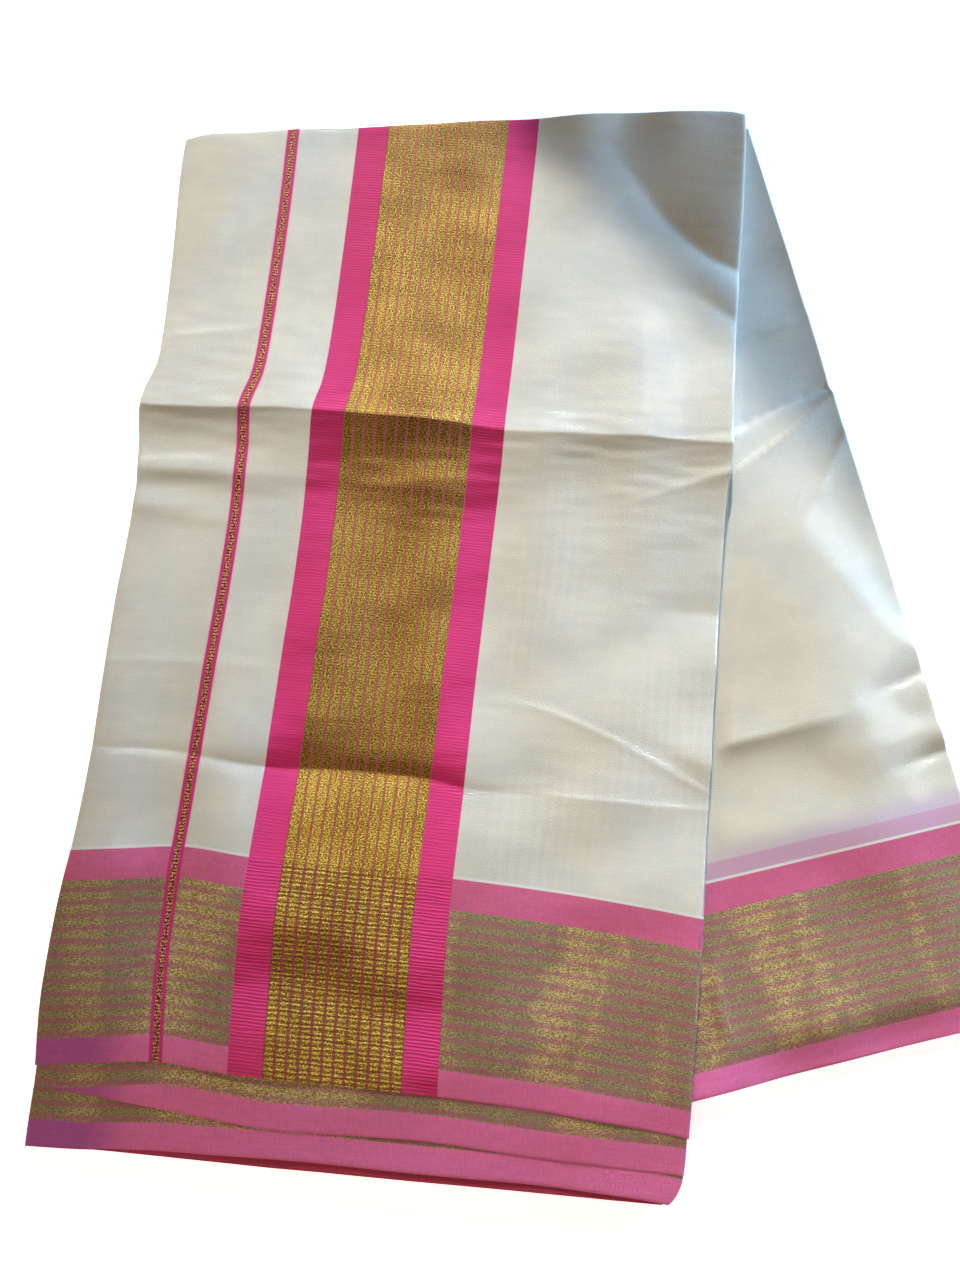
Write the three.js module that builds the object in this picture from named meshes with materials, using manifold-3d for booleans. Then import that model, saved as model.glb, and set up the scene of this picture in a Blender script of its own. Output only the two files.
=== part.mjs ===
// A cotton saree, folded in half along its length, folded again into a stack of panels and laid flat.
// One panel has swung out of the stack to the right, about the top right corner.
// Millimetres. +X runs along the cloth's length, +Y across its width away from the selvedges, +Z up.
// The origin is the middle of the underside.
import * as THREE from "three";
import { mergeVertices } from "three/addons/utils/BufferGeometryUtils.js";
import Module from "manifold-3d";

const wasm = await Module();
wasm.setup();

// Driving dimensions
const WALL = 1.2; // a ply with the air that creased cotton holds
const PLY_GAP = 0.3; // between one ply and the next
const LEVEL = WALL + PLY_GAP;
const FRONT_TOP = 12; // upper face of the front stretch, clear of its creases
const SWUNG_TOP = 3; // upper face of the swung panel where it lies on the surface
const SWUNG_DROP = 60; // how far past the stack the swung panel comes down
const SWING = THREE.MathUtils.degToRad(18); // how far the swung panel has turned
const TUCK = 40; // how much of the swung panel is kept inside the stack
const SIDE_LEFT = -272; // the stack's left edge before it wanders
const SIDE_RIGHT = 94; // the stack's right edge before it wanders
const SWING_CORNER = { x: 99.6, y: 335 }; // the corner that the swung panel turned about
const DOUBLED_WIDTH = 584; // half the cloth's width, from the top fold to the selvedges
const STACK_HEM = -338.5; // the lowest ply's bottom edge
const ROLL = 1.6; // outer radius of a turned edge
const ROLL_REACH = WALL + LEVEL; // how far a turned edge comes down over the next ply
const LIP_SLOPE = 0.05; // how far a turned edge's lip leans out
const LIP_ROOM = WALL + 1.2; // how far a ply stands in from the edge that is turned down over it
const THIRD_IN = 0.4; // how far the third ply's turned edges stand in from the front's
const LOWEST_IN = 0.6; // the same for the lowest ply
const SIDE_IN = 1; // how far the lower plies stand in on the right
const DROOP_REACH = 16; // how far up the swung panel's hem droops
const UNDER_SIDE_IN = 2.6; // how far the plies under the swung panel stand in from its side
const UNDER_TOP_IN = 9; // and from its top corner
const UNDER_LEFT = SIDE_RIGHT + 6; // where they begin, clear of the stack
const SECOND_HEM_LEVEL = -315; // the plies' bottom edges, before they slant
const THIRD_HEM_LEVEL = -335;
const FRONT_HEM_LEVEL = -293;
const FOLD_LEVEL = 315; // the top fold before it slants

// Heights of the plies' upper faces, from the top of the stack down
const SECOND_TOP = FRONT_TOP - LEVEL;
const THIRD_TOP = SECOND_TOP - LEVEL;
const LAYERS_TOP = THIRD_TOP - LEVEL;
const LOWEST_TOP = WALL;
const SWUNG_TUCKED = LAYERS_TOP;

const COLOURS = { cream: 0xe3ded2, pink: 0xc8508a, shade: 0xcdbfa5 };

// How far the stack's sides stand out from a straight line, along Y
const SIDE_WANDER = [
  { y: -296, left: 5.5, right: -5 },
  { y: -254, left: 7.5, right: -4.5 },
  { y: -213, left: 6.5, right: -3.5 },
  { y: -171, left: 3, right: -3 },
  { y: -127, left: 1, right: -2.5 },
  { y: -33, left: 1, right: -1.5 },
  { y: 42, left: -0.5, right: -0.5 },
  { y: 75, left: 2, right: 0 },
  { y: 92, left: 4, right: 1.5 },
  { y: 109, left: 2.5, right: 1 },
  { y: 126, left: -2, right: 0.5 },
  { y: 143, left: -2.5, right: 0.5 },
  { y: 214, left: 0.5, right: 1.5 },
  { y: 268, left: 3.5, right: 2 },
  { y: 310, left: 1, right: 1.5 },
  { y: 338, left: -4, right: 0 },
];

// The top fold of the stack, along X
const TOP_FOLD = [
  { x: -277, y: 286 },
  { x: -262, y: 291.5 },
  { x: -234, y: 295.5 },
  { x: -175, y: 304 },
  { x: -115, y: 312.5 },
  { x: -55, y: 321.5 },
  { x: 5, y: 331 },
  { x: 46, y: 335.5 },
  { x: 84, y: 338.5 },
  { x: 96, y: 336.5 },
];

// The bottom edge of each ply of the stack, along X
const HEMS = [
  { x: -278, front: -295, second: -304.5, third: -338 },
  { x: -245, front: -291, second: -308, third: -337 },
  { x: -209, front: -287, second: -311.5, third: -334 },
  { x: -172, front: -289.5, second: -315, third: -333 },
  { x: -138, front: -290, second: -317, third: -332 },
  { x: -60, front: -291, second: -315.5, third: -332.5 },
  { x: 10, front: -294, second: -318.5, third: -332.5 },
  { x: 60, front: -298, second: -320, third: -334.5 },
  { x: 90, front: -301, second: -320.5, third: -337 },
];

// The front's main creases: a ridge from one end to the other, its rise and its half-width
const FRONT_FOLDS = [
  { x0: -276, y0: 98, x1: -60, y1: 102, rise: 2.4, half: 8 }, // storage fold, left
  { x0: -60, y0: 102, x1: 96, y1: 88, rise: 2.8, half: 8 }, // storage fold, right
  { x0: -273, y0: -122, x1: -72, y1: -116, rise: 1.3, half: 7 }, // second fold, left
  { x0: -72, y0: -116, x1: 92, y1: -106, rise: 1.6, half: 7 }, // second fold, right
  { x0: -23, y0: -70, x1: 44, y1: -90, rise: 1, half: 8 }, // pinched ridge
  { x0: 44, y0: -90, x1: 91, y1: -112, rise: 1.5, half: 7 },
  { x0: -36, y0: 310, x1: 93, y1: 186, rise: 1.6, half: 24 }, // broad swell, upper right
  { x0: 20, y0: 322, x1: 96, y1: 300, rise: 0.9, half: 14 },
];

// The swung panel's main creases
const SWUNG_FOLDS = [
  { x0: 152, y0: 150, x1: 102, y1: 84, rise: 1.2, half: 10 },
  { x0: 217, y0: -28, x1: 182, y1: -44, rise: 1, half: 9 },
  { x0: 232, y0: -73, x1: 199, y1: -85, rise: 0.9, half: 8 },
  { x0: 97, y0: -82, x1: 166, y1: -58, rise: 1.3, half: 10 },
];

// The hidden plies' rounded and layered side: how far it stands in at each height
const LAYERED_SIDE = [
  { up: 0, inset: 2.4 },
  { up: 0.4, inset: 1.4 },
  { up: 1.2, inset: 1.2 },
  { up: 1.8, inset: 2.4 },
  { up: 2.4, inset: 1.3 },
  { up: 3.3, inset: 1.5 },
  { up: 3.8, inset: 2.6 },
  { up: 4.3, inset: 3 },
  { up: 5.2, inset: 3.4 },
  { up: 6, inset: 4.2 },
];

// A smooth curve through one column of a table, against another.
function curve(rows, at, value) {
  const slope = (i, j) =>
    (rows[j][value] - rows[i][value]) / (rows[j][at] - rows[i][at]);
  const last = rows.length - 1;
  const tangent = (i) => slope(Math.max(i - 1, 0), Math.min(i + 1, last));
  return (t) => {
    const s = Math.min(Math.max(t, rows[0][at]), rows[last][at]);
    let i = 0;
    while (i < last - 1 && s > rows[i + 1][at]) i += 1;
    const span = rows[i + 1][at] - rows[i][at];
    const f = (s - rows[i][at]) / span;
    const rise = rows[i + 1][value] - rows[i][value];
    const a = tangent(i) * span - rise;
    const b = rise - tangent(i + 1) * span;
    return rows[i][value] + f * rise + f * (1 - f) * (a * (1 - f) + b * f);
  };
}

// The height that a table of creases adds at a point.
function foldRise(folds, x, y) {
  return folds.reduce((sum, c) => {
    const dx = c.x1 - c.x0;
    const dy = c.y1 - c.y0;
    const along = ((x - c.x0) * dx + (y - c.y0) * dy) / (dx * dx + dy * dy);
    const f = Math.min(Math.max(along, 0), 1);
    const away = Math.hypot(x - c.x0 - f * dx, y - c.y0 - f * dy);
    return sum + c.rise * Math.exp(-((away / c.half) ** 2));
  }, 0);
}

// An edge of a wall, from the rim inwards: where its outer and inner faces lie, in from the rim and down.
const plainEdge = [{ outerIn: 0, outerDown: 0, innerIn: 0, innerDown: WALL }];

// An edge turned down over the next ply: a quarter round and a straight lip.
function turnedEdge() {
  const arc = [0, 1, 2].map((k) => {
    const turn = (k * Math.PI) / 4;
    const inner = ROLL - WALL;
    return {
      outerIn: ROLL - ROLL * Math.cos(turn) + LIP_SLOPE,
      outerDown: ROLL - ROLL * Math.sin(turn),
      innerIn: ROLL - inner * Math.cos(turn) + LIP_SLOPE,
      innerDown: ROLL - inner * Math.sin(turn),
    };
  });
  const lip = {
    outerIn: 0,
    outerDown: ROLL_REACH,
    innerIn: WALL,
    innerDown: ROLL_REACH,
  };
  return [lip, ...arc];
}

// Grid lines from a low edge to a high one. A line between them is a function of the two limits.
function gridLines(lowEdge, highEdge, between) {
  const middle = between.map((place) => ({
    place,
    outerDown: 0,
    innerDown: WALL,
  }));
  return [
    ...lowEdge.map((row) => ({ ...row, side: 1 })),
    ...middle.map((row) => ({ ...row, side: 0 })),
    ...[...highEdge].reverse().map((row) => ({ ...row, side: -1 })),
  ];
}

// The place of a grid line between a low and a high limit.
function placeOf(line, low, high, face) {
  if (line.side > 0) return low + line[face + "In"];
  if (line.side < 0) return high - line[face + "In"];
  return line.place(low, high);
}

// A point of an outline: its four sides are curves, so the place is found by a few rounds of correction.
function planPoint(outline, column, row, face) {
  let x = (outline.left(0) + outline.right(0)) / 2;
  let y = (outline.bottom(x) + outline.top(x)) / 2;
  for (let round = 0; round < 12; round += 1) {
    x = placeOf(column, outline.left(y), outline.right(y), face);
    y = placeOf(row, outline.bottom(x), outline.top(x), face);
  }
  return { x, y };
}

// A closed wall of cloth over an outline. topAt gives the upper face's height.
// No point of it is lower than floor, and flatAt makes the lower face flat there.
function clothWall({ outline, edges, columns, rows, topAt, floor = 0, flatAt }) {
  const across = gridLines(edges.left, edges.right, columns);
  const along = gridLines(edges.bottom, edges.top, rows);
  const wide = across.length;
  const deep = along.length;
  const vertices = [];
  for (const face of ["outer", "inner"]) {
    for (const row of along) {
      for (const column of across) {
        const { x, y } = planPoint(outline, column, row, face);
        const down = Math.max(column[face + "Down"], row[face + "Down"]);
        const level = flatAt !== undefined && face === "inner";
        const z = level ? flatAt : Math.max(topAt(x, y) - down, floor);
        vertices.push(x, y, z);
      }
    }
  }
  const at = (face, j, i) => face * wide * deep + j * wide + i;
  const faces = [];
  for (let j = 0; j < deep - 1; j += 1) {
    for (let i = 0; i < wide - 1; i += 1) {
      faces.push(at(0, j, i), at(0, j, i + 1), at(0, j + 1, i + 1));
      faces.push(at(0, j, i), at(0, j + 1, i + 1), at(0, j + 1, i));
      faces.push(at(1, j, i), at(1, j + 1, i + 1), at(1, j, i + 1));
      faces.push(at(1, j, i), at(1, j + 1, i), at(1, j + 1, i + 1));
    }
  }
  const rim = [];
  for (let i = 0; i < wide - 1; i += 1) rim.push([0, i]);
  for (let j = 0; j < deep - 1; j += 1) rim.push([j, wide - 1]);
  for (let i = wide - 1; i > 0; i -= 1) rim.push([deep - 1, i]);
  for (let j = deep - 1; j > 0; j -= 1) rim.push([j, 0]);
  rim.forEach(([j, i], k) => {
    const [nextJ, nextI] = rim[(k + 1) % rim.length];
    const [a, b] = [at(0, j, i), at(0, nextJ, nextI)];
    const [c, d] = [at(1, nextJ, nextI), at(1, j, i)];
    faces.push(a, c, b, a, d, c);
  });
  const geometry = new THREE.BufferGeometry();
  geometry.setAttribute(
    "position",
    new THREE.Float32BufferAttribute(vertices, 3),
  );
  geometry.setIndex(faces);
  return geometry;
}

// Even shares between 0 and 1.
const evenShares = (count) =>
  Array.from({ length: count }, (_, k) => (k + 1) / (count + 1));

// Lines at shares of the way from one limit to the other.
const sharedLines = (shares) =>
  shares.map((share) => (low, high) => THREE.MathUtils.lerp(low, high, share));

// Lines that run straight across the stack, and bend only near its hem and its top fold to follow them.
const straightLines = (places, hemLevel) =>
  places.map((y) => {
    const nearHem = 1 - THREE.MathUtils.smoothstep(y, hemLevel + 10, hemLevel + 90);
    const nearFold = THREE.MathUtils.smoothstep(y, 130, FOLD_LEVEL);
    return (low, high) =>
      y + nearHem * (low - hemLevel) + nearFold * (high - FOLD_LEVEL);
  });

// A hidden ply has one line at each row of the side table, so its side follows the front's.
const sideLines = (hemLevel) =>
  straightLines(
    SIDE_WANDER.map(({ y }) => y).filter((y) => y > hemLevel + 10 && y < FOLD_LEVEL),
    hemLevel,
  );

const inset = (f, by) => (t) => f(t) + by;
const sideLeft = (y) => SIDE_LEFT - curve(SIDE_WANDER, "y", "left")(y);
const sideRight = (y) => SIDE_RIGHT + curve(SIDE_WANDER, "y", "right")(y);
const topFold = curve(TOP_FOLD, "x", "y");

// The stack's outline at one ply, drawn in from the left side and the top fold.
const stackOutline = (hem, leftIn, topIn, rightIn = 0) => ({
  left: inset(sideLeft, leftIn),
  right: inset(sideRight, -rightIn),
  bottom: typeof hem === "string" ? curve(HEMS, "x", hem) : () => hem,
  top: inset(topFold, -topIn),
});

// The front's lines: evenly spaced, and closer together over its two long creases.
function frontLines() {
  const places = [];
  let y = FRONT_HEM_LEVEL + 8;
  while (y < FOLD_LEVEL - 8) {
    places.push(y);
    const creased = (y > -129 && y < -101) || (y > 79 && y < 110);
    y += creased ? 5.5 : 14.5;
  }
  return straightLines(places, FRONT_HEM_LEVEL);
}

function frontStretch() {
  return clothWall({
    outline: stackOutline("front", 0, 0),
    edges: {
      left: turnedEdge(),
      right: plainEdge,
      bottom: plainEdge,
      top: turnedEdge(),
    },
    columns: sharedLines(evenShares(15)),
    rows: frontLines(),
    topAt: (x, y) => FRONT_TOP + foldRise(FRONT_FOLDS, x, y),
  });
}

function secondStretch() {
  return clothWall({
    outline: stackOutline("second", LIP_ROOM, LIP_ROOM, SIDE_IN),
    edges: {
      left: plainEdge,
      right: plainEdge,
      bottom: plainEdge,
      top: plainEdge,
    },
    columns: sharedLines(evenShares(13)),
    rows: sideLines(SECOND_HEM_LEVEL),
    topAt: () => SECOND_TOP,
  });
}

function thirdStretch() {
  return clothWall({
    outline: stackOutline("third", THIRD_IN, THIRD_IN, SIDE_IN),
    edges: {
      left: turnedEdge(),
      right: plainEdge,
      bottom: plainEdge,
      top: turnedEdge(),
    },
    columns: sharedLines(evenShares(13)),
    rows: sideLines(THIRD_HEM_LEVEL),
    topAt: () => THIRD_TOP,
  });
}

function lowestStretch() {
  return clothWall({
    outline: stackOutline(STACK_HEM, LOWEST_IN, LOWEST_IN, SIDE_IN),
    edges: {
      left: plainEdge,
      right: plainEdge,
      bottom: plainEdge,
      top: plainEdge,
    },
    columns: sharedLines(evenShares(10)),
    rows: sideLines(STACK_HEM),
    topAt: () => LOWEST_TOP,
  });
}

// The swung panel: its right side and its hem are turned by SWING, and its left side stays in the stack.
const swungSlope = Math.tan(SWING);
const hemCorner = {
  x: SWING_CORNER.x + DOUBLED_WIDTH * Math.sin(SWING),
  y: SWING_CORNER.y - DOUBLED_WIDTH * Math.cos(SWING),
};
const swungOutline = ({ sideIn = 0, hemIn = 0, topIn = 0, left }) => ({
  left: () => left,
  right: (y) => SWING_CORNER.x - sideIn + swungSlope * (SWING_CORNER.y - y),
  bottom: (x) => hemCorner.y + hemIn - swungSlope * (hemCorner.x - x),
  top: (x) => SWING_CORNER.y - topIn - swungSlope * (SWING_CORNER.x - x),
});

// The swung panel's height: it leaves the stack high, and comes down to the surface.
function swungHeight(x) {
  const away = THREE.MathUtils.smoothstep(x, SIDE_RIGHT, SIDE_RIGHT + SWUNG_DROP);
  return THREE.MathUtils.lerp(SWUNG_TUCKED, SWUNG_TOP, away);
}

// Outside the stack its hem droops, because the ply below it ends sooner.
const DROOP = SWUNG_TOP - WALL - PLY_GAP;
function swungTop(x, y) {
  const hem = hemCorner.y - swungSlope * (hemCorner.x - x);
  const near = 1 - THREE.MathUtils.smoothstep(y - hem, 0, DROOP_REACH);
  const out = THREE.MathUtils.smoothstep(x, SIDE_RIGHT, SIDE_RIGHT + SWUNG_DROP);
  return swungHeight(x) + foldRise(SWUNG_FOLDS, x, y) * out - near * out * DROOP;
}

function swungStretch() {
  const left = SIDE_RIGHT - TUCK;
  return clothWall({
    outline: swungOutline({ left }),
    edges: {
      left: plainEdge,
      right: turnedEdge(),
      bottom: plainEdge,
      top: plainEdge,
    },
    columns: sharedLines(evenShares(13)),
    rows: sharedLines([0.012, 0.022, ...evenShares(30)]),
    topAt: swungTop,
    floor: PLY_GAP,
  });
}

function swungLayers() {
  const below = WALL + 2 * PLY_GAP;
  return clothWall({
    outline: swungOutline({
      left: UNDER_LEFT,
      sideIn: UNDER_SIDE_IN,
      hemIn: DROOP_REACH + 4,
      topIn: UNDER_TOP_IN,
    }),
    edges: {
      left: plainEdge,
      right: [
        { outerIn: 0, outerDown: 0.9, innerIn: 0.4, innerDown: WALL },
        { outerIn: 0.5, outerDown: 0.2, innerIn: 0.9, innerDown: WALL },
      ],
      bottom: plainEdge,
      top: plainEdge,
    },
    columns: sharedLines(evenShares(9)),
    rows: sharedLines(evenShares(16)),
    topAt: (x) => swungHeight(x) - below,
    flatAt: 0,
  });
}

// A closed mesh as a solid that can be cut, and back.
function toSolid(geometry) {
  const bare = new THREE.BufferGeometry();
  bare.setAttribute("position", geometry.getAttribute("position"));
  bare.setIndex(geometry.index);
  const merged = mergeVertices(bare);
  return new wasm.Manifold(
    new wasm.Mesh({
      numProp: 3,
      vertProperties: merged.attributes.position.array,
      triVerts: new Uint32Array(merged.index.array),
    }),
  );
}

function toGeometry(solid) {
  const mesh = solid.getMesh();
  const geometry = new THREE.BufferGeometry();
  geometry.setAttribute(
    "position",
    new THREE.BufferAttribute(mesh.vertProperties, 3),
  );
  geometry.setIndex(new THREE.BufferAttribute(mesh.triVerts, 1));
  return geometry;
}

// The hidden plies: rings of the stack's outline, one for each row of the layered side, capped flat.
function layeredStack() {
  const outline = stackOutline(STACK_HEM, 0, 0);
  const bottomY = STACK_HEM + 1.2;
  const loop = [];
  const add = (x, y, nx, ny) => loop.push({ x, y, nx, ny });
  const sideRows = evenShares(28);
  const endRows = evenShares(12);
  const leftTop = outline.top(SIDE_LEFT);
  const rightTop = outline.top(SIDE_RIGHT);
  endRows.forEach((f) =>
    add(THREE.MathUtils.lerp(SIDE_LEFT, SIDE_RIGHT, f), bottomY, 0, -1),
  );
  sideRows.forEach((f) => {
    const y = THREE.MathUtils.lerp(bottomY, rightTop, f);
    add(outline.right(y), y, 1, 0);
  });
  [...endRows].reverse().forEach((f) => {
    const x = THREE.MathUtils.lerp(SIDE_LEFT, SIDE_RIGHT, f);
    add(x, outline.top(x), 0, 1);
  });
  [...sideRows].reverse().forEach((f) => {
    const y = THREE.MathUtils.lerp(bottomY, leftTop, f);
    add(outline.left(y), y, -1, 0);
  });
  const base = LOWEST_TOP + PLY_GAP;
  const vertices = [];
  LAYERED_SIDE.forEach(({ up, inset: by }) =>
    loop.forEach(({ x, y, nx, ny }) =>
      vertices.push(x - nx * by, y - ny * by, base + up),
    ),
  );
  const count = loop.length;
  const faces = [];
  for (let ring = 0; ring < LAYERED_SIDE.length - 1; ring += 1) {
    for (let k = 0; k < count; k += 1) {
      const next = (k + 1) % count;
      const [a, b] = [ring * count + k, ring * count + next];
      faces.push(a, b, b + count, a, b + count, a + count);
    }
  }
  const plan = (ring) =>
    loop.map(({ x, y, nx, ny }) => {
      const by = LAYERED_SIDE[ring].inset;
      return new THREE.Vector2(x - nx * by, y - ny * by);
    });
  const lastRing = LAYERED_SIDE.length - 1;
  THREE.ShapeUtils.triangulateShape(plan(lastRing), []).forEach(([a, b, c]) =>
    faces.push(a + lastRing * count, b + lastRing * count, c + lastRing * count),
  );
  THREE.ShapeUtils.triangulateShape(plan(0), []).forEach(([a, b, c]) =>
    faces.push(a, c, b),
  );
  const geometry = new THREE.BufferGeometry();
  geometry.setAttribute(
    "position",
    new THREE.Float32BufferAttribute(vertices, 3),
  );
  geometry.setIndex(faces);
  return geometry;
}

// The room that the swung panel's tucked part takes out of the hidden plies.
function tuckRoom() {
  const clear = LEVEL;
  const left = SIDE_RIGHT - TUCK - clear;
  const right = SIDE_RIGHT + 8;
  const outline = swungOutline({ left, topIn: -clear, hemIn: -clear });
  const shape = new THREE.Shape([
    new THREE.Vector2(left, outline.bottom(left)),
    new THREE.Vector2(right, outline.bottom(right)),
    new THREE.Vector2(right, outline.top(right)),
    new THREE.Vector2(left, outline.top(left)),
  ]);
  const geometry = new THREE.ExtrudeGeometry(shape, {
    depth: LEVEL + 1,
    bevelEnabled: false,
  });
  geometry.translate(0, 0, SWUNG_TUCKED - LEVEL);
  return geometry;
}

// An extruded shape with only its positions, its shared corners merged.
function bareMerged(geometry) {
  const bare = new THREE.BufferGeometry();
  bare.setAttribute("position", geometry.getAttribute("position"));
  return mergeVertices(bare);
}

function foldedLayers() {
  const stack = toSolid(layeredStack());
  const room = toSolid(bareMerged(tuckRoom()));
  return toGeometry(stack.subtract(room));
}

function cloth(name, geometry, colour) {
  const material = new THREE.MeshStandardMaterial({
    color: colour,
    roughness: 0.85,
    metalness: 0,
  });
  const mesh = new THREE.Mesh(geometry, material);
  mesh.name = name;
  return mesh;
}

const saree = new THREE.Group();
saree.add(
  cloth("front_stretch", frontStretch(), COLOURS.cream),
  cloth("second_stretch", secondStretch(), COLOURS.pink),
  cloth("third_stretch", thirdStretch(), COLOURS.pink),
  cloth("folded_layers", foldedLayers(), COLOURS.shade),
  cloth("lowest_stretch", lowestStretch(), COLOURS.cream),
  cloth("swung_stretch", swungStretch(), COLOURS.cream),
  cloth("swung_layers", swungLayers(), COLOURS.shade),
);

export default saree;
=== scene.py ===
"""A cream cotton saree with pink and gold woven borders, folded into a flat stack.

One panel has swung out of the stack to the right. +X runs along the cloth's length, +Y from the
selvedges to the top fold and +Z up. Sizes are in millimetres until a mesh is made, which is in metres.
Every woven pattern follows a piece's own weave map: how far along the cloth, and how far from its selvedge.
"""

import logging
import math
from dataclasses import dataclass, field
from enum import Enum
from typing import Callable, NamedTuple, Sequence

import bpy
import numpy as np
from mathutils import Matrix, Vector


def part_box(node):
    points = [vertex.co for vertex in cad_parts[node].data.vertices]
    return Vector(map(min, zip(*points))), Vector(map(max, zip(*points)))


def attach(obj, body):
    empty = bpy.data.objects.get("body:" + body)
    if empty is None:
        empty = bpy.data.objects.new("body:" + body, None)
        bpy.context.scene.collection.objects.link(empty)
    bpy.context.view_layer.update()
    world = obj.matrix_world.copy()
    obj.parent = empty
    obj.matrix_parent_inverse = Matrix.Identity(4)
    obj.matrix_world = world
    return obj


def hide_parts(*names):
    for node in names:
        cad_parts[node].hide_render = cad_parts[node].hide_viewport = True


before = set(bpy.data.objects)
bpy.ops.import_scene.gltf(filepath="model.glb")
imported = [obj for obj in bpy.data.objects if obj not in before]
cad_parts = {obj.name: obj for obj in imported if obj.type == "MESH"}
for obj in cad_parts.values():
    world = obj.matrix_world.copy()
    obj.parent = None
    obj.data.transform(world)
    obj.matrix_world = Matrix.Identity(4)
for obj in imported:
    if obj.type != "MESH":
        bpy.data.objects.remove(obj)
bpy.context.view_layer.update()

MM = 0.001
WEAVE_MAP = "weave"
TILT = "tilt"
BODY = "root"

Array = np.ndarray
Curve = Callable[[Array], Array]
Colour = tuple[float, float, float]
Place = tuple[float, float, float]
Stretch = tuple[float, float, float]
log = logging.getLogger("saree")


def top_of(node: str) -> float:
    """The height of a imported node's upper face, in millimetres."""
    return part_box(node)[1].z / MM


# Heights of the plies' upper faces, from the frame
SECOND_TOP = top_of("second_stretch")
THIRD_TOP = top_of("third_stretch")
LAYERS_TOP = top_of("folded_layers")
LOWEST_TOP = top_of("lowest_stretch")
FRONT_TOP = 2.0 * SECOND_TOP - THIRD_TOP

# The cloth's own sizes
DOUBLED_WIDTH = 584.0
CLOTH_WALL = 0.5
SWUNG_WALL = 0.4
FOLD_RADIUS = 1.35
NOT_TURNED = 1e6

# The woven courses, from the selvedge inwards
SELVEDGE_PINK = 14.6
GOLD_ROWS = 12
GOLD_END = 100.6
BORDER_END = 118.0
WHITE_LINE_END = 119.6

# The border of the ply below, where the cloth over it lets it show
SEEN_LINE_END = 129.5
SEEN_BORDER = 129.0
SEEN_BORDER_END = 146.0

# The woven courses, along the cloth's length: the places where they lie on the weave map
STRIPE_AT = -208.0
BAND_LEFT = -167.0
BAND_RIGHT = -49.0
BAND_PINK = 19.8
GOLD_COLUMNS = 12


class SideRow(NamedTuple):
    """How far the stack's sides stand out from a straight line at one y."""

    y: float
    left: float
    right: float


class TopRow(NamedTuple):
    """A point of the stack's top fold."""

    x: float
    y: float


class HemRow(NamedTuple):
    """Where each ply's bottom edge lies at one x."""

    x: float
    front: float
    second: float
    third: float


class CourseRow(NamedTuple):
    """Where the thin stripe and the cross band's two edges lie at one y."""

    y: float
    stripe: float
    left: float
    right: float


class RestRow(NamedTuple):
    """How fully a hem rests on the ply below it at one x, from 0 to 1."""

    x: float
    front: float
    second: float
    third: float


class FoldRow(NamedTuple):
    """A point of a crease's crest: its rise, and its half-widths above and below the crest."""

    x: float
    y: float
    rise: float
    upper: float
    lower: float


SIDE_WANDER = (
    SideRow(-339, 5.5, -16),
    SideRow(-332, 5.5, -9.5),
    SideRow(-322, 5.5, -6),
    SideRow(-296, 5.5, -5),
    SideRow(-254, 7.5, -4.5),
    SideRow(-213, 6.5, -3.5),
    SideRow(-171, 3, -3),
    SideRow(-127, 1, -2.5),
    SideRow(-33, 1, -1.5),
    SideRow(42, -0.5, -0.5),
    SideRow(75, 2, 0),
    SideRow(92, 4, 1.5),
    SideRow(109, 2.5, 1),
    SideRow(126, -2, 0.5),
    SideRow(143, -2.5, 0.5),
    SideRow(214, 0.5, 1.5),
    SideRow(268, 3.5, 2),
    SideRow(310, 1, 1.5),
    SideRow(338, -4, 0),
)

TOP_FOLD = (
    TopRow(-277, 286),
    TopRow(-262, 291.5),
    TopRow(-234, 295.5),
    TopRow(-175, 304),
    TopRow(-115, 312.5),
    TopRow(-55, 321.5),
    TopRow(5, 331),
    TopRow(46, 335.5),
    TopRow(84, 338.5),
    TopRow(96, 336.5),
)

HEMS = (
    HemRow(-278, -295, -304.5, -338),
    HemRow(-245, -291, -308, -337),
    HemRow(-209, -287, -311.5, -334),
    HemRow(-172, -289.5, -315, -333),
    HemRow(-138, -290, -317, -332),
    HemRow(-60, -291, -315.5, -332.5),
    HemRow(10, -294, -318.5, -332.5),
    HemRow(60, -298, -320, -334.5),
    HemRow(90, -301, -320.5, -337),
)

HEM_REST = (
    RestRow(-278, 1.0, 0.9, 1.0),
    RestRow(-205, 0.8, 0.6, 0.9),
    RestRow(-172, 0.1, 0.8, 0.3),
    RestRow(-145, 0.0, 1.0, 0.0),
    RestRow(-110, 0.5, 0.9, 0.0),
    RestRow(-40, 0.9, 0.8, 0.1),
    RestRow(30, 1.0, 1.0, 0.2),
    RestRow(90, 0.9, 1.0, 0.5),
)

COURSES = (
    CourseRow(-290, -209.4, -169.0, -51.4),
    CourseRow(-240, -213.2, -171.5, -53.2),
    CourseRow(-198, -214.0, -172.6, -54.0),
    CourseRow(-124, -211.9, -169.9, -52.1),
    CourseRow(-60, -210.0, -168.2, -50.8),
    CourseRow(20, -207.4, -166.1, -48.5),
    CourseRow(75, -208.4, -166.9, -46.9),
    CourseRow(103, -210.0, -167.4, -46.9),
    CourseRow(124, -205.2, -163.6, -46.3),
    CourseRow(150, -203.9, -162.2, -45.5),
    CourseRow(235, -203.2, -161.4, -43.7),
    CourseRow(300, -203.8, -161.4, -42.3),
)

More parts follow.
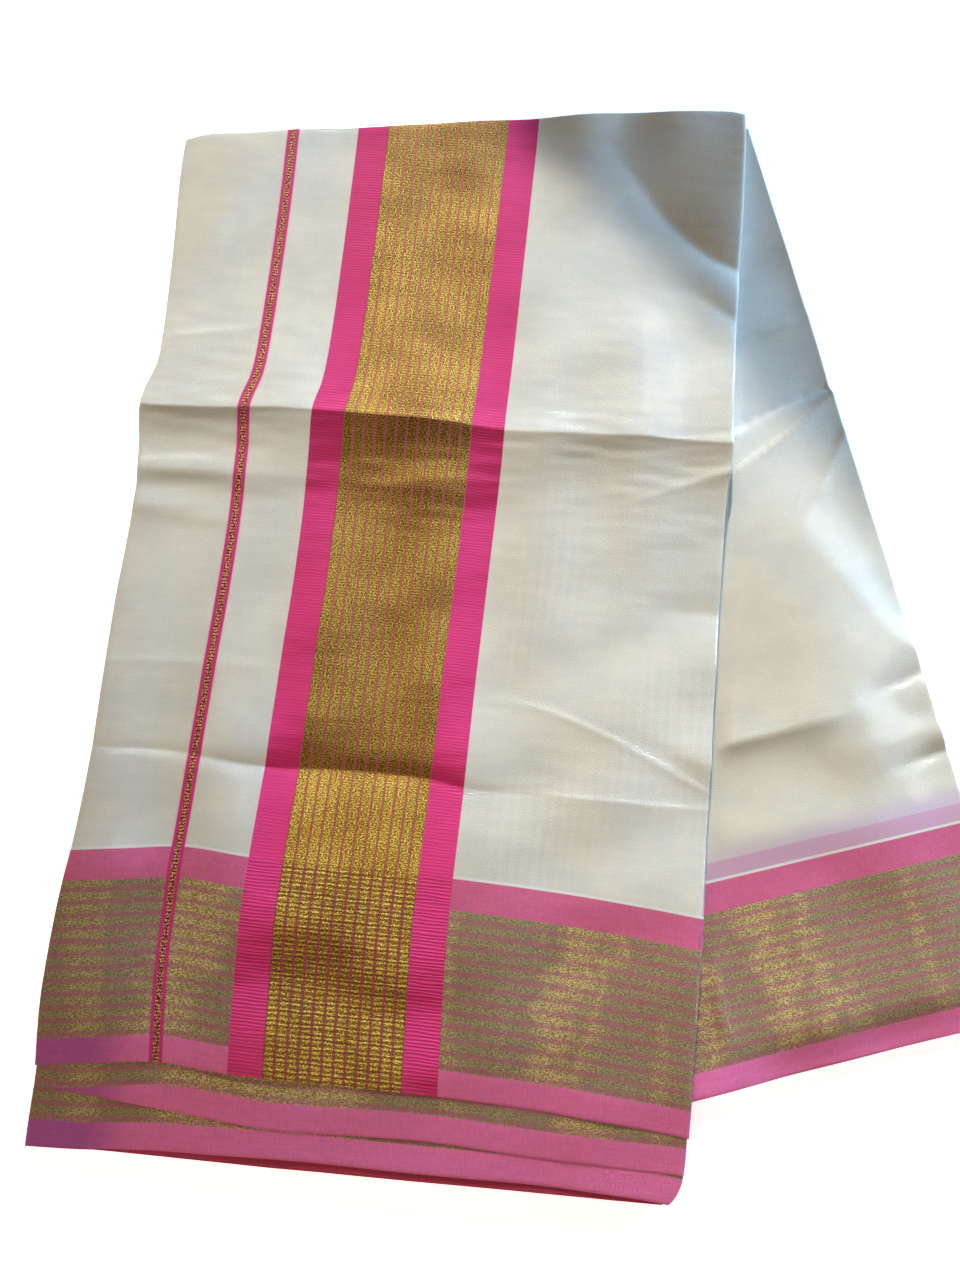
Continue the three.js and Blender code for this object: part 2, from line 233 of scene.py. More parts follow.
# The front's sharp folds, each along its crest from left to right
FRONT_RIDGES = (
    (  # the storage fold
        FoldRow(-281, 96.5, 3.0, 24, 8),
        FoldRow(-238, 98.5, 3.0, 24, 8),
        FoldRow(-188, 101.8, 2.9, 24, 10),
        FoldRow(-140, 102.5, 3.0, 19, 12),
        FoldRow(-100, 102.0, 3.0, 19, 12),
        FoldRow(-60, 100.6, 2.9, 20, 12),
        FoldRow(-40, 99.8, 2.5, 22, 12),
        FoldRow(38, 103.0, 2.3, 16, 12),
        FoldRow(98, 103.3, 2.3, 14, 12),
    ),
    (  # the second fold: a low step
        FoldRow(-281, -117, -0.6, 5, 3),
        FoldRow(-226, -115, -0.7, 5, 3),
        FoldRow(-171, -119.5, -1.8, 7, 8),
        FoldRow(-119, -117, -2.6, 9, 10),
        FoldRow(-72, -118, -2.4, 9, 10),
        FoldRow(-48, -122, -0.9, 8, 8),
        FoldRow(4, -122, 0.0, 8, 5),
    ),
    (  # a light line that goes on from it
        FoldRow(-20, -120, 0.0, 2, 8),
        FoldRow(10, -121, 0.35, 2, 8),
        FoldRow(50, -121.5, 0.4, 2, 9),
        FoldRow(98, -121.5, 0.35, 2, 9),
    ),
    (  # the pinched ridge
        FoldRow(-36, -66, 0.0, 1.6, 9),
        FoldRow(-10, -71, 0.22, 1.2, 4),
        FoldRow(12, -77.5, 0.4, 1.2, 4),
        FoldRow(44, -90, 0.46, 1.2, 4),
        FoldRow(75, -104.5, 0.5, 1.2, 4),
        FoldRow(98, -115, 0.52, 1.2, 4),
    ),
    (  # the trough of the upper right, which ends in a wedge at the right edge
        FoldRow(0, 314, 0.0, 20, 14),
        FoldRow(22, 288, -1.0, 24, 14),
        FoldRow(46, 257.6, -2.2, 30, 14),
        FoldRow(76, 233, -3.0, 32, 13),
        FoldRow(98, 223, -3.4, 32, 12),
    ),
    (  # the lower wedge
        FoldRow(50, 214, 0.0, 12, 9),
        FoldRow(77, 199, -0.9, 12, 8),
        FoldRow(98, 186, -1.7, 12, 8),
    ),
    (  # the tuck at the right edge
        FoldRow(26, 56, 0.0, 3, 12),
        FoldRow(46, 65.7, 0.5, 2.6, 12),
        FoldRow(70, 76.3, 0.8, 2.4, 11),
        FoldRow(98, 87, 1.2, 2.4, 10),
    ),
    (  # the trough that ends in the right edge
        FoldRow(30, -6, 0.0, 18, 9),
        FoldRow(66, -5, -0.8, 18, 12),
        FoldRow(98, -7, -1.3, 15, 12),
    ),
    (  # a long thin wrinkle over the storage fold
        FoldRow(-281, 141, 0.35, 2.5, 7),
        FoldRow(-235, 151, 0.45, 2.5, 7),
        FoldRow(-190, 160, 0.3, 2.5, 7),
        FoldRow(-160, 165, 0.0, 2.5, 7),
    ),
    (  # another across the lower left
        FoldRow(-281, -66, 0.3, 2, 6),
        FoldRow(-246, -62, 0.35, 2, 6),
        FoldRow(-186, -60, 0.3, 2, 6),
        FoldRow(-130, -64, 0.0, 2, 6),
    ),
)

# The front's soft swells and hollows
FRONT_SWELLS = (
    (  # the swell that the storage fold stands on
        FoldRow(-281, 99, 1.3, 40, 26),
        FoldRow(-215, 100, 1.8, 50, 26),
        FoldRow(-170, 101, 2.8, 60, 32),
        FoldRow(-60, 101, 2.9, 60, 38),
        FoldRow(38, 106, 1.8, 36, 44),
        FoldRow(98, 106, 2.0, 26, 44),
    ),
    (  # the lit swell across the upper right
        FoldRow(-62, 196, 0.0, 30, 30),
        FoldRow(-27, 179, 1.2, 36, 32),
        FoldRow(3, 163, 1.5, 38, 40),
        FoldRow(35, 150, 1.9, 36, 44),
        FoldRow(67, 140, 2.2, 34, 44),
        FoldRow(98, 134, 2.0, 32, 44),
    ),
    (  # the cloth falls towards the pinched ridge
        FoldRow(40, -72, 0.0, 22, 11),
        FoldRow(75, -88, 0.9, 22, 10),
        FoldRow(98, -98, 1.4, 22, 10),
    ),
    (  # the corner of the top fold stands up
        FoldRow(16, 348, 0.0, 30, 34),
        FoldRow(50, 345, 2.0, 30, 44),
        FoldRow(98, 336, 2.6, 30, 50),
    ),
    (  # a lobe at the top fold, left of it
        FoldRow(-44, 330, 0.6, 20, 16),
        FoldRow(-12, 332, 1.0, 20, 16),
        FoldRow(14, 340, 0.6, 20, 14),
        FoldRow(28, 344, 0.0, 20, 12),
    ),
    (  # a wrinkle under the storage fold
        FoldRow(-281, 56, 1.5, 10, 7),
        FoldRow(-240, 59, 1.9, 10, 7),
        FoldRow(-205, 58, 1.0, 10, 7),
        FoldRow(-180, 58, 0.4, 10, 7),
        FoldRow(-150, 60, 0.5, 10, 8),
        FoldRow(-80, 62, 0.5, 10, 8),
        FoldRow(-20, 60, 0.0, 10, 8),
    ),
    (  # a second wrinkle, shorter
        FoldRow(-281, 36, 0.8, 8, 6),
        FoldRow(-240, 32, 0.7, 9, 7),
        FoldRow(-196, 28, 0.0, 9, 8),
    ),
    (  # a soft diagonal over the right half
        FoldRow(-50, -14, 0.0, 14, 14),
        FoldRow(-13, 8, 0.9, 15, 15),
        FoldRow(40, 34, 1.2, 15, 16),
        FoldRow(98, 58, 0.9, 14, 14),
    ),
    (  # a soft diagonal in the upper left
        FoldRow(-262, 196, 0.0, 18, 14),
        FoldRow(-244, 232, 1.3, 22, 15),
        FoldRow(-222, 268, 1.6, 22, 15),
        FoldRow(-196, 300, 0.6, 18, 13),
    ),
    (  # a low fold across the left column
        FoldRow(-281, -190, 0.9, 16, 14),
        FoldRow(-236, -184, 1.1, 16, 14),
        FoldRow(-180, -186, 0.3, 16, 14),
    ),
    (  # a fold under the cross band, near the border
        FoldRow(-200, -196, 0.0, 16, 16),
        FoldRow(-150, -202, 1.3, 17, 18),
        FoldRow(-90, -208, 1.4, 16, 18),
        FoldRow(-30, -196, 0.0, 16, 18),
    ),
    (  # a hollow below it
        FoldRow(-190, -246, 0.0, 14, 14),
        FoldRow(-140, -244, -0.9, 15, 14),
        FoldRow(-80, -250, -0.9, 15, 14),
        FoldRow(-30, -248, 0.0, 14, 14),
    ),
)

# The swung panel's sharp folds
SWUNG_RIDGES = (
    (  # a tuck that runs into the stack
        FoldRow(88, 110, -0.8, 9, 3),
        FoldRow(106, 122, -1.4, 10, 2.5),
        FoldRow(130, 138, -2.0, 11, 3.0),
        FoldRow(156, 152, -2.6, 12, 3.0),
    ),
    (  # the thin ridge under it
        FoldRow(88, 79, 1.0, 2.0, 10),
        FoldRow(113, 101, 1.1, 2.0, 10),
        FoldRow(131, 117, 1.2, 2.5, 9),
        FoldRow(156, 144, 1.2, 3.0, 7),
    ),
    (  # a thin line down from the edge
        FoldRow(130, 22, 0.0, 2, 6),
        FoldRow(136, 40, 0.4, 2, 6),
        FoldRow(148, 73, 0.5, 2, 6),
        FoldRow(164, 112, 0.6, 2, 6),
    ),
    (  # a short one near the top
        FoldRow(108, 184, 0.0, 2.5, 4),
        FoldRow(120, 188, 0.5, 2.5, 4),
        FoldRow(140, 198, 0.7, 2.5, 4),
    ),
    (  # the first pinch of the right edge
        FoldRow(176, -50, 0.0, 9, 5),
        FoldRow(190, -42.5, -1.0, 9, 4),
        FoldRow(202, -36, -1.7, 9, 4),
        FoldRow(214, -30, -2.1, 9, 4),
        FoldRow(232, -24, -2.4, 9, 4),
    ),
    (  # the pinch below it
        FoldRow(172, -68, 0.0, 9, 5),
        FoldRow(190, -57, 0.9, 8, 4),
        FoldRow(202, -52, 0.0, 7, 4),
    ),
    (  # the lowest pinch
        FoldRow(195, -90, 0.0, 8, 4),
        FoldRow(210, -83.5, -1.0, 8, 4),
        FoldRow(224, -77, -1.7, 8, 4),
        FoldRow(242, -71, -2.2, 8, 4),
    ),
    (  # the ridge out of the stack
        FoldRow(86, -87, 3.0, 24, 8),
        FoldRow(112, -79, 3.0, 24, 9),
        FoldRow(140, -69, 2.4, 22, 11),
        FoldRow(168, -59, 1.2, 18, 11),
        FoldRow(190, -52, 0.0, 14, 11),
    ),
    (  # a thin dark crease beside the stack, over the border
        FoldRow(96, -205, 0.9, 4, 2),
        FoldRow(104, -236, 0.8, 4, 2),
        FoldRow(113, -262, 0.0, 4, 2),
    ),
)

# Its soft swells
SWUNG_SWELLS = (
    (  # the broad lobe that falls towards the first pinch
        FoldRow(118, 62, 0.0, 18, 70),
        FoldRow(148, 41, 1.8, 17, 66),
        FoldRow(168, 23, 2.7, 15, 72),
        FoldRow(193, -4, 3.1, 14, 72),
        FoldRow(216, -17, 2.7, 10, 64),
        FoldRow(236, -20, 2.4, 8, 60),
    ),
    (  # the fall towards the lowest pinch
        FoldRow(158, -92, 0.0, 14, 26),
        FoldRow(186, -77, 1.5, 12, 20),
        FoldRow(214, -67, 1.9, 10, 16),
        FoldRow(240, -61, 1.7, 8, 14),
    ),
    (  # a swell above the border
        FoldRow(92, -140, 0.8, 18, 16),
        FoldRow(150, -128, 1.0, 18, 16),
        FoldRow(220, -112, 0.8, 18, 16),
    ),
)


def smooth(t: Array, low: float, high: float) -> Array:
    """Rise from 0 at low to 1 at high, as 3f^2 - 2f^3 of the share f of the way."""
    f = np.clip((t - low) / (high - low), 0.0, 1.0)
    return f * f * (3.0 - 2.0 * f)


@dataclass(frozen=True)
class TableCurve:
    """A smooth curve through the rows of a short table.

    Between two rows it is the cubic whose end slopes are those of the chords through the rows beside them,
    and past the ends it keeps the end values.
    """

    places: Array
    values: Array

    @classmethod
    def of(cls, rows: Sequence[NamedTuple], at: str, value: str) -> "TableCurve":
        """Take one column of a table against another.

        Args:
            rows: The table, its rows in rising order of the column at.
            at: The column that the curve is a function of.
            value: The column that it gives.

        Returns:
            The curve.
        """
        return cls(
            np.array([getattr(row, at) for row in rows], float),
            np.array([getattr(row, value) for row in rows], float),
        )

    def __call__(self, t: Array) -> Array:
        """The curve's value at each place in t."""
        x, v = self.places, self.values
        before = np.maximum(np.arange(len(x)) - 1, 0)
        after = np.minimum(np.arange(len(x)) + 1, len(x) - 1)
        slope = (v[after] - v[before]) / (x[after] - x[before])
        s = np.clip(t, x[0], x[-1])
        i = np.clip(np.searchsorted(x, s, side="right") - 1, 0, len(x) - 2)
        span = x[i + 1] - x[i]
        f = (s - x[i]) / span
        rise = v[i + 1] - v[i]
        a = slope[i] * span - rise
        b = rise - slope[i + 1] * span
        return v[i] + f * rise + f * (1 - f) * (a * (1 - f) + b * f)


class Profile(Enum):
    """How a crease falls away from its crest."""

    ROUND = "round"
    SHARP = "sharp"


@dataclass(frozen=True)
class Crease:
    """One crease: a crest line with an uneven rise and a wide and a narrow side.

    In the frame of its first and last points, a is the way along and b the way across, and f is
    |b - crest(a)| / width(a), with the upper width where b is past the crest and the lower one before it.
    Its height is rise(a) * exp(-f^2) where it is round and rise(a) * exp(-f) where it is sharp. At an end
    whose rise is 0 it fades out, and elsewhere it runs on past the cloth.
    """

    rows: tuple[FoldRow, ...]
    profile: Profile = Profile.ROUND

    def height(self, x: Array, y: Array) -> Array:
        """The height that the crease adds at each point."""
        first, last = self.rows[0], self.rows[-1]
        turn = math.atan2(last.y - first.y, last.x - first.x)
        cos, sin = math.cos(turn), math.sin(turn)
        along = (x - first.x) * cos + (y - first.y) * sin
        across = -(x - first.x) * sin + (y - first.y) * cos
        points = np.array([(r.x - first.x, r.y - first.y) for r in self.rows])
        at = points[:, 0] * cos + points[:, 1] * sin
        crest = TableCurve(at, -points[:, 0] * sin + points[:, 1] * cos)(along)
        rise, upper, lower = (
            TableCurve(at, np.array([getattr(r, name) for r in self.rows]))(along)
            for name in ("rise", "upper", "lower")
        )
        away = across - crest
        share = np.abs(away) / np.where(away > 0, upper, lower)
        return rise * np.exp(-share if self.profile is Profile.SHARP else -(share**2))


def creases_of(ridges: Sequence[tuple], swells: Sequence[tuple]) -> list[Crease]:
    """The creases of a piece.

    Args:
        ridges: The tables of its sharp folds.
        swells: The tables of its soft swells.

    Returns:
        The creases.
    """
    sharp = [Crease(rows, Profile.SHARP) for rows in ridges]
    return sharp + [Crease(rows) for rows in swells]


@dataclass(frozen=True)
class Ripple:
    """Gentle unevenness of cloth that lies at rest.

    It is a sum of waves height * sin(2 pi (x cos d + y sin d) / length + phase). Lengths and phases are
    drawn from a seeded generator between the limits, and whose directions lie near one direction.
    """

    seed: int
    waves: int
    height: float
    shortest: float
    longest: float
    direction: float = 0.0
    spread: float = 180.0

    def height_at(self, x: Array, y: Array) -> Array:
        """The height of the sum at each point."""
        draw = np.random.default_rng(self.seed)
        total = np.zeros_like(x)
        for _ in range(self.waves):
            length = draw.uniform(self.shortest, self.longest)
            heading = math.radians(self.direction + draw.uniform(-0.5, 0.5) * self.spread)
            phase = draw.uniform(0.0, 2.0 * math.pi)
            way = x * math.cos(heading) + y * math.sin(heading)
            total += np.sin(2.0 * math.pi * way / length + phase)
        return total * self.height / math.sqrt(self.waves)


@dataclass
class Surface:
    """A closed surface of quads, with the weave map's place for each point, and how steeply it rises."""

    points: Array
    quads: Array
    weave: Array
    tilt: Array | None = None

    def joined(self, other: "Surface") -> "Surface":
        """This surface and another as one."""
        return Surface(
            np.concatenate([self.points, other.points]),
            np.concatenate([self.quads, other.quads + len(self.points)]),
            np.concatenate([self.weave, other.weave]),
        )

    def to_object(self, name: str, crisp: float = 50.0) -> bpy.types.Object:
        """Make it a mesh object in metres.

        Args:
            name: The object's name.
            crisp: The angle in degrees past which two faces meet in a sharp edge.

        Returns:
            The object, at the origin.
        """
        mesh = bpy.data.meshes.new(name)
        mesh.from_pydata((self.points * MM).tolist(), [], self.quads.tolist())
        mesh.polygons.foreach_set("use_smooth", np.ones(len(self.quads), bool))
        layer = mesh.uv_layers.new(name=WEAVE_MAP)
        corners = np.zeros(len(mesh.loops), np.int64)
        mesh.loops.foreach_get("vertex_index", corners)
        layer.uv.foreach_set("vector", (self.weave[corners] * MM).astype(np.float32).ravel())
        if self.tilt is not None:
            turned = mesh.attributes.new(TILT, "FLOAT", "POINT")
            turned.data.foreach_set("value", self.tilt.astype(np.float32))
        mesh.set_sharp_from_angle(angle=math.radians(crisp))
        made = bpy.data.objects.new(name, mesh)
        bpy.context.scene.collection.objects.link(made)
        return made


def grid_quads(rows: int, columns: int, start: int = 0) -> Array:
    """Quads of a grid of points that is stored row by row.

    Args:
        rows: The number of rows of points.
        columns: The number of points in a row.
        start: The index of the first point.

    Returns:
        One row of four indices for each quad, anticlockwise where columns run to +X and rows to +Y.
    """
    index = np.arange(rows * columns).reshape(rows, columns) + start
    corners = (index[:-1, :-1], index[:-1, 1:], index[1:, 1:], index[1:, :-1])
    return np.stack([corner.ravel() for corner in corners], 1)


def rim_loop(rows: int, columns: int) -> Array:
    """The indices round a grid's rim, anticlockwise from its first point, each once."""
    index = np.arange(rows * columns).reshape(rows, columns)
    return np.concatenate([index[0, :-1], index[:-1, -1], index[-1, :0:-1], index[:0:-1, 0]])


def shell(face: Array, thickness: float, weave: Array) -> Surface:
    """Close a grid of points into a thin wall of cloth.

    The inner face is the outer one moved by the thickness against its normal, the cross product of the
    grid's two directions, and a strip round the rim joins the two.

    Args:
        face: The outer face's points, as rows by columns by 3.
        thickness: The wall's thickness.
        weave: The weave map's place for each point, as rows by columns by 2.

    Returns:
        The closed surface.
    """
    rows, columns = face.shape[:2]
    normal = np.cross(np.gradient(face, axis=1), np.gradient(face, axis=0))
    size = np.linalg.norm(normal, axis=2, keepdims=True)
    normal = np.where(size > 1e-9, normal / np.maximum(size, 1e-9), (0.0, 0.0, 1.0))
    inner = face - normal * thickness
    count = rows * columns
    rim = rim_loop(rows, columns)
    after = np.roll(rim, -1)
    strip = np.stack([rim, rim + count, after + count, after], 1)
    quads = [grid_quads(rows, columns), grid_quads(rows, columns, count)[:, ::-1], strip]
    points = np.concatenate([face.reshape(-1, 3), inner.reshape(-1, 3)])
    places = np.tile(weave.reshape(-1, 2), (2, 1))
    return Surface(points, np.concatenate(quads), places)


def pillow(plan: Array, middle: Array, half: Array, weave: Array) -> Surface:
    """Close a grid into a flat ply with a rounded rim, as a doubled and pressed sheet has.

    Its faces lie at middle + half and middle - half, and half is 0 all round the rim, where they meet.

    Args:
        plan: The x and y of each point, as rows by columns by 2.
        middle: The height of the ply's middle at each point.
        half: Half the ply's thickness at each point.
        weave: The weave map's place for each point.

    Returns:
        The closed surface.
    """
    rows, columns = middle.shape
    upper = np.dstack([plan, middle + half]).reshape(-1, 3)
    lower = np.dstack([plan, middle - half]).reshape(-1, 3)
    count = rows * columns
    under = grid_quads(rows, columns, count)[:, ::-1]
    rim = rim_loop(rows, columns)
    shared = np.arange(2 * count)
    shared[rim + count] = rim
    under = shared[under]
    kept = np.ones(2 * count, bool)
    kept[rim + count] = False
    place = np.cumsum(kept) - 1
    quads = place[np.concatenate([grid_quads(rows, columns), under])]
    points = np.concatenate([upper, lower])[kept]
    places = np.tile(weave.reshape(-1, 2), (2, 1))[kept]
    return Surface(points, quads, places)


@dataclass(frozen=True)
class Edge:
    """An edge of a piece: its lines from the rim inwards, how far in each lies and how far down."""

    inset: Array
    down: Array
    radius: float

    @classmethod
    def turned(cls, radius: float = FOLD_RADIUS, past: float = 62.0, lines: int = 9) -> "Edge":
        """A folded edge: inset = r (1 - cos a) and down = r (1 - sin a), for a from -past to 90 degrees."""
        a = np.radians(np.linspace(-past, 90.0, lines))
        return cls(radius * (1.0 - np.cos(a)), radius * (1.0 - np.sin(a)), radius)

    @classmethod
    def cut(cls) -> "Edge":
        """A single edge that dips a little at its rim."""
        return cls(np.array([0.0, 0.7, 1.7, 3.2]), np.array([0.35, 0.12, 0.03, 0.0]), NOT_TURNED)

    @classmethod
    def rounded(cls, half: float, lines: int = 5) -> "Edge":
        """A pressed ply's edge: inset = h (1 - cos a) and down = h (1 - sin a), for a from 0 to 90."""
        a = np.radians(np.linspace(0.0, 90.0, lines))
        return cls(half * (1.0 - np.cos(a)), half * (1.0 - np.sin(a)), NOT_TURNED)

    @property
    def depth(self) -> float:
        """How far in its last line lies."""
        return float(self.inset[-1])


@dataclass(frozen=True)
class Outline:
    """A piece's four sides in plan, and the levels that its straight rows bend away from."""

    left: Curve
    right: Curve
    bottom: Curve
    top: Curve
    hem_level: float
    fold_level: float
    hem_reach: float = 90.0
    fold_start: float = 130.0


# How the grid is laid: the rows' straight margin over a hem, the least gap of lines, and the rounds
HEM_MARGIN = 10
LINE_GAP = 0.02
GRID_ROUNDS = 14


@dataclass(frozen=True)
class Grid:
    """A piece's grid: its plan and how far down each point lies from the piece's face."""

    x: Array
    y: Array
    down: Array


def lay_grid(outline: Outline, edges: Sequence[Edge], shares: Array, levels: Array) -> Grid:
    """Lay a grid of points over an outline.

    A line near a side keeps its distance from it. Between them a column lies at a share of the way across,
    and a row runs straight at its level, and bends only near the hem and the top fold to follow them. As
    each side is a curve of the other coordinate, a few rounds of correction find the points. Where an edge
    is turned under, the other side's lines draw in by r - sqrt(r^2 - (down - r)^2), so a corner is round.

    Args:
        outline: The four sides.
        edges: The left, right, bottom and top edges.
        shares: Where the middle columns lie, from 0 to 1.
        levels: The y of the middle rows.

    Returns:
        The grid.
    """
    left, right, bottom, top = edges
    hem_start = outline.hem_level + HEM_MARGIN
    near_hem = 1.0 - smooth(levels, hem_start, outline.hem_level + outline.hem_reach)
    near_fold = smooth(levels, outline.fold_start, outline.fold_level)
    column_down = np.concatenate([left.down, np.zeros(len(shares)), right.down[::-1]])
    row_down = np.concatenate([bottom.down, np.zeros(len(levels)), top.down[::-1]])
    down = np.maximum(column_down[None, :], row_down[:, None])
    radius = min(edge.radius for edge in edges)
    under = np.clip(down - radius, 0.0, radius)
    draw = radius - np.sqrt(radius**2 - under**2)
    apart = LINE_GAP * np.arange(max(len(edge.inset) for edge in edges))

    def inset(edge: Edge, room: Array, axis: int) -> Array:
        """How far in an edge's lines lie, given the draw of the other side."""
        own = edge.inset if axis else edge.inset[:, None]
        rank = apart[: len(edge.inset)] if axis else apart[: len(edge.inset), None]
        return np.maximum(own, room) + rank

    nl, nr, nb, nt = len(left.inset), len(right.inset), len(bottom.inset), len(top.inset)
    x = np.full(down.shape, float(np.mean([outline.left(np.zeros(1)), outline.right(np.zeros(1))])))
    y = np.zeros(down.shape)
    for _ in range(GRID_ROUNDS):
        low, high = outline.left(y), outline.right(y)
        start, end = low + left.depth, high - right.depth
        x = x.copy()
        x[:, :nl] = low[:, :nl] + inset(left, draw[:, :nl], 1)
        x[:, nl:-nr] = start[:, nl:-nr] + shares * (end - start)[:, nl:-nr]
        x[:, -nr:] = high[:, -nr:] - inset(right, draw[:, -nr:][:, ::-1], 1)[:, ::-1]
        low, high = outline.bottom(x), outline.top(x)
        y = y.copy()
        y[:nb] = low[:nb] + inset(bottom, draw[:nb], 0)
        y[nb:-nt] = (
            levels[:, None]
            + near_hem[:, None] * (low[nb:-nt] - outline.hem_level)
            + near_fold[:, None] * (high[nb:-nt] - outline.fold_level)
        )
        y[-nt:] = high[-nt:] - inset(top, draw[-nt:][::-1], 0)[::-1]
    return Grid(x, y, down)


def graded(low: float, high: float, step: float, fine: Sequence[Stretch]) -> Array:
    """Levels from low to high, closer together in some stretches.

    Args:
        low: The first level.
        high: The last level at most.
        step: The usual step.
        fine: Stretches as start, end and step.

    Returns:
        The levels.
    """
    levels = [low]
    while levels[-1] < high:
        steps = [s for a, b, s in fine if a <= levels[-1] < b]
        levels.append(levels[-1] + min(steps + [step]))
    return np.array(levels[:-1])


def even_shares(count: int) -> Array:
    """Even shares between 0 and 1, without the ends."""
    return np.arange(1, count + 1) / (count + 1.0)


class StackPlan:
    """The stack's outline and the way its plies lie on each other."""

    SIDE_LEFT = -272.0
    SIDE_RIGHT = 94.0
    HEM = -338.5
    FOLD_LEVEL = 315.0
    SINK = 0.2
    SINK_LEFT = 0.16
    SINK_SIDE = 130.0
    SINK_REACH = 96.0
    HEM_REACH = 15.0
    HEM_CLEARANCE = 0.15
    STORAGE_FOLD = 92.0
    FINE_REACH = 55.0
    FINE_LEAST = 0.35

    def __init__(self) -> None:
        """Take the curves of the short tables."""
        self.out_left = TableCurve.of(SIDE_WANDER, "y", "left")
        self.out_right = TableCurve.of(SIDE_WANDER, "y", "right")
        self.fold = TableCurve.of(TOP_FOLD, "x", "y")
        self.course = {name: TableCurve.of(COURSES, "y", name) for name in ("stripe", "left", "right")}
        self.creases = creases_of(FRONT_RIDGES, FRONT_SWELLS)
        self.swells = Ripple(seed=11, waves=9, height=0.5, shortest=50, longest=120)
        self.wrinkles = Ripple(
            seed=7, waves=14, height=0.085, shortest=7, longest=24, direction=90, spread=34
        )

    def hem(self, ply: str) -> Curve:
        """A ply's bottom edge, which is straight for one that the tables don't name."""
        if ply in HemRow._fields:
            return TableCurve.of(HEMS, "x", ply)
        return lambda x: np.full_like(x, self.HEM)

    def outline(self, ply: str, left_in: float, top_in: float, right_in: float, level: float) -> Outline:
        """A ply's outline.

        Args:
            ply: Its name in the tables.
            left_in: How far it stands in on the left.
            top_in: How far it stands in at the top fold.
            right_in: How far it stands in on the right.
            level: Its bottom edge before it slants.

        Returns:
            The outline.
        """
        return Outline(
            left=lambda y: self.SIDE_LEFT - self.out_left(y) + left_in,
            right=lambda y: self.SIDE_RIGHT + self.out_right(y) - right_in,
            bottom=self.hem(ply),
            top=lambda x: self.fold(x) - top_in,
            hem_level=level,
            fold_level=self.FOLD_LEVEL,
        )

    def sunk(self, height: Array, x: Array, y: Array) -> Array:
        """Heights above the surface, drawn down towards the hems and most at the left corner."""
        from_left = smooth(x, self.SIDE_LEFT, self.SIDE_LEFT + self.SINK_SIDE)
        share = self.SINK + self.SINK_LEFT * (1.0 - from_left)
        return height * (1.0 - share * (1.0 - smooth(y, self.HEM, self.HEM + self.SINK_REACH)))

    def relief(self, x: Array, y: Array, share: float) -> Array:
        """The creases and swells of the stack's face, and for a deeper ply a share of them.

        The finest wrinkles are strongest along the storage fold: least + (1 - least) exp(-f^2), where f is
        the distance from it as a share of their reach.

        Args:
            x: The places, across.
            y: The same, along.
            share: The ply's share.

        Returns:
            The height that they add.
        """
        folds = sum(crease.height(x, y) for crease in self.creases)
        away = (y - self.STORAGE_FOLD) / self.FINE_REACH
        nearer = self.FINE_LEAST + (1.0 - self.FINE_LEAST) * np.exp(-(away**2))
        fine = self.wrinkles.height_at(x, y) * nearer
        return share * (folds + self.swells.height_at(x, y)) + share * share * fine

    def drop(self, ply: str, x: Array, y: Array) -> Array:
        """How far a hem comes down to rest on the ply below it."""
        rest = TableCurve.of(HEM_REST, "x", ply)(x)
        near = 1.0 - smooth(y - self.hem(ply)(x), 0.0, self.HEM_REACH)
        return rest * near * (SECOND_TOP - THIRD_TOP - CLOTH_WALL - self.HEM_CLEARANCE)

    def along(self, x: Array, y: Array) -> Array:
        """Places along the cloth: the stripe and the band keep their own courses on the weave map.

        Between the stripe and the band, and across the band, it is linear in x between their edges at that
        y, and outside them it goes one for one.
        """
        stripe, left, right = (self.course[name](y) for name in ("stripe", "left", "right"))
        gap = BAND_LEFT + (x - left) * (BAND_LEFT - STRIPE_AT) / (left - stripe)
        band = BAND_LEFT + (x - left) * (BAND_RIGHT - BAND_LEFT) / (right - left)
        inner = np.where(x < left, gap, band)
        inner = np.where(x < stripe, STRIPE_AT + x - stripe, inner)
        return np.where(x > right, BAND_RIGHT + x - right, inner)


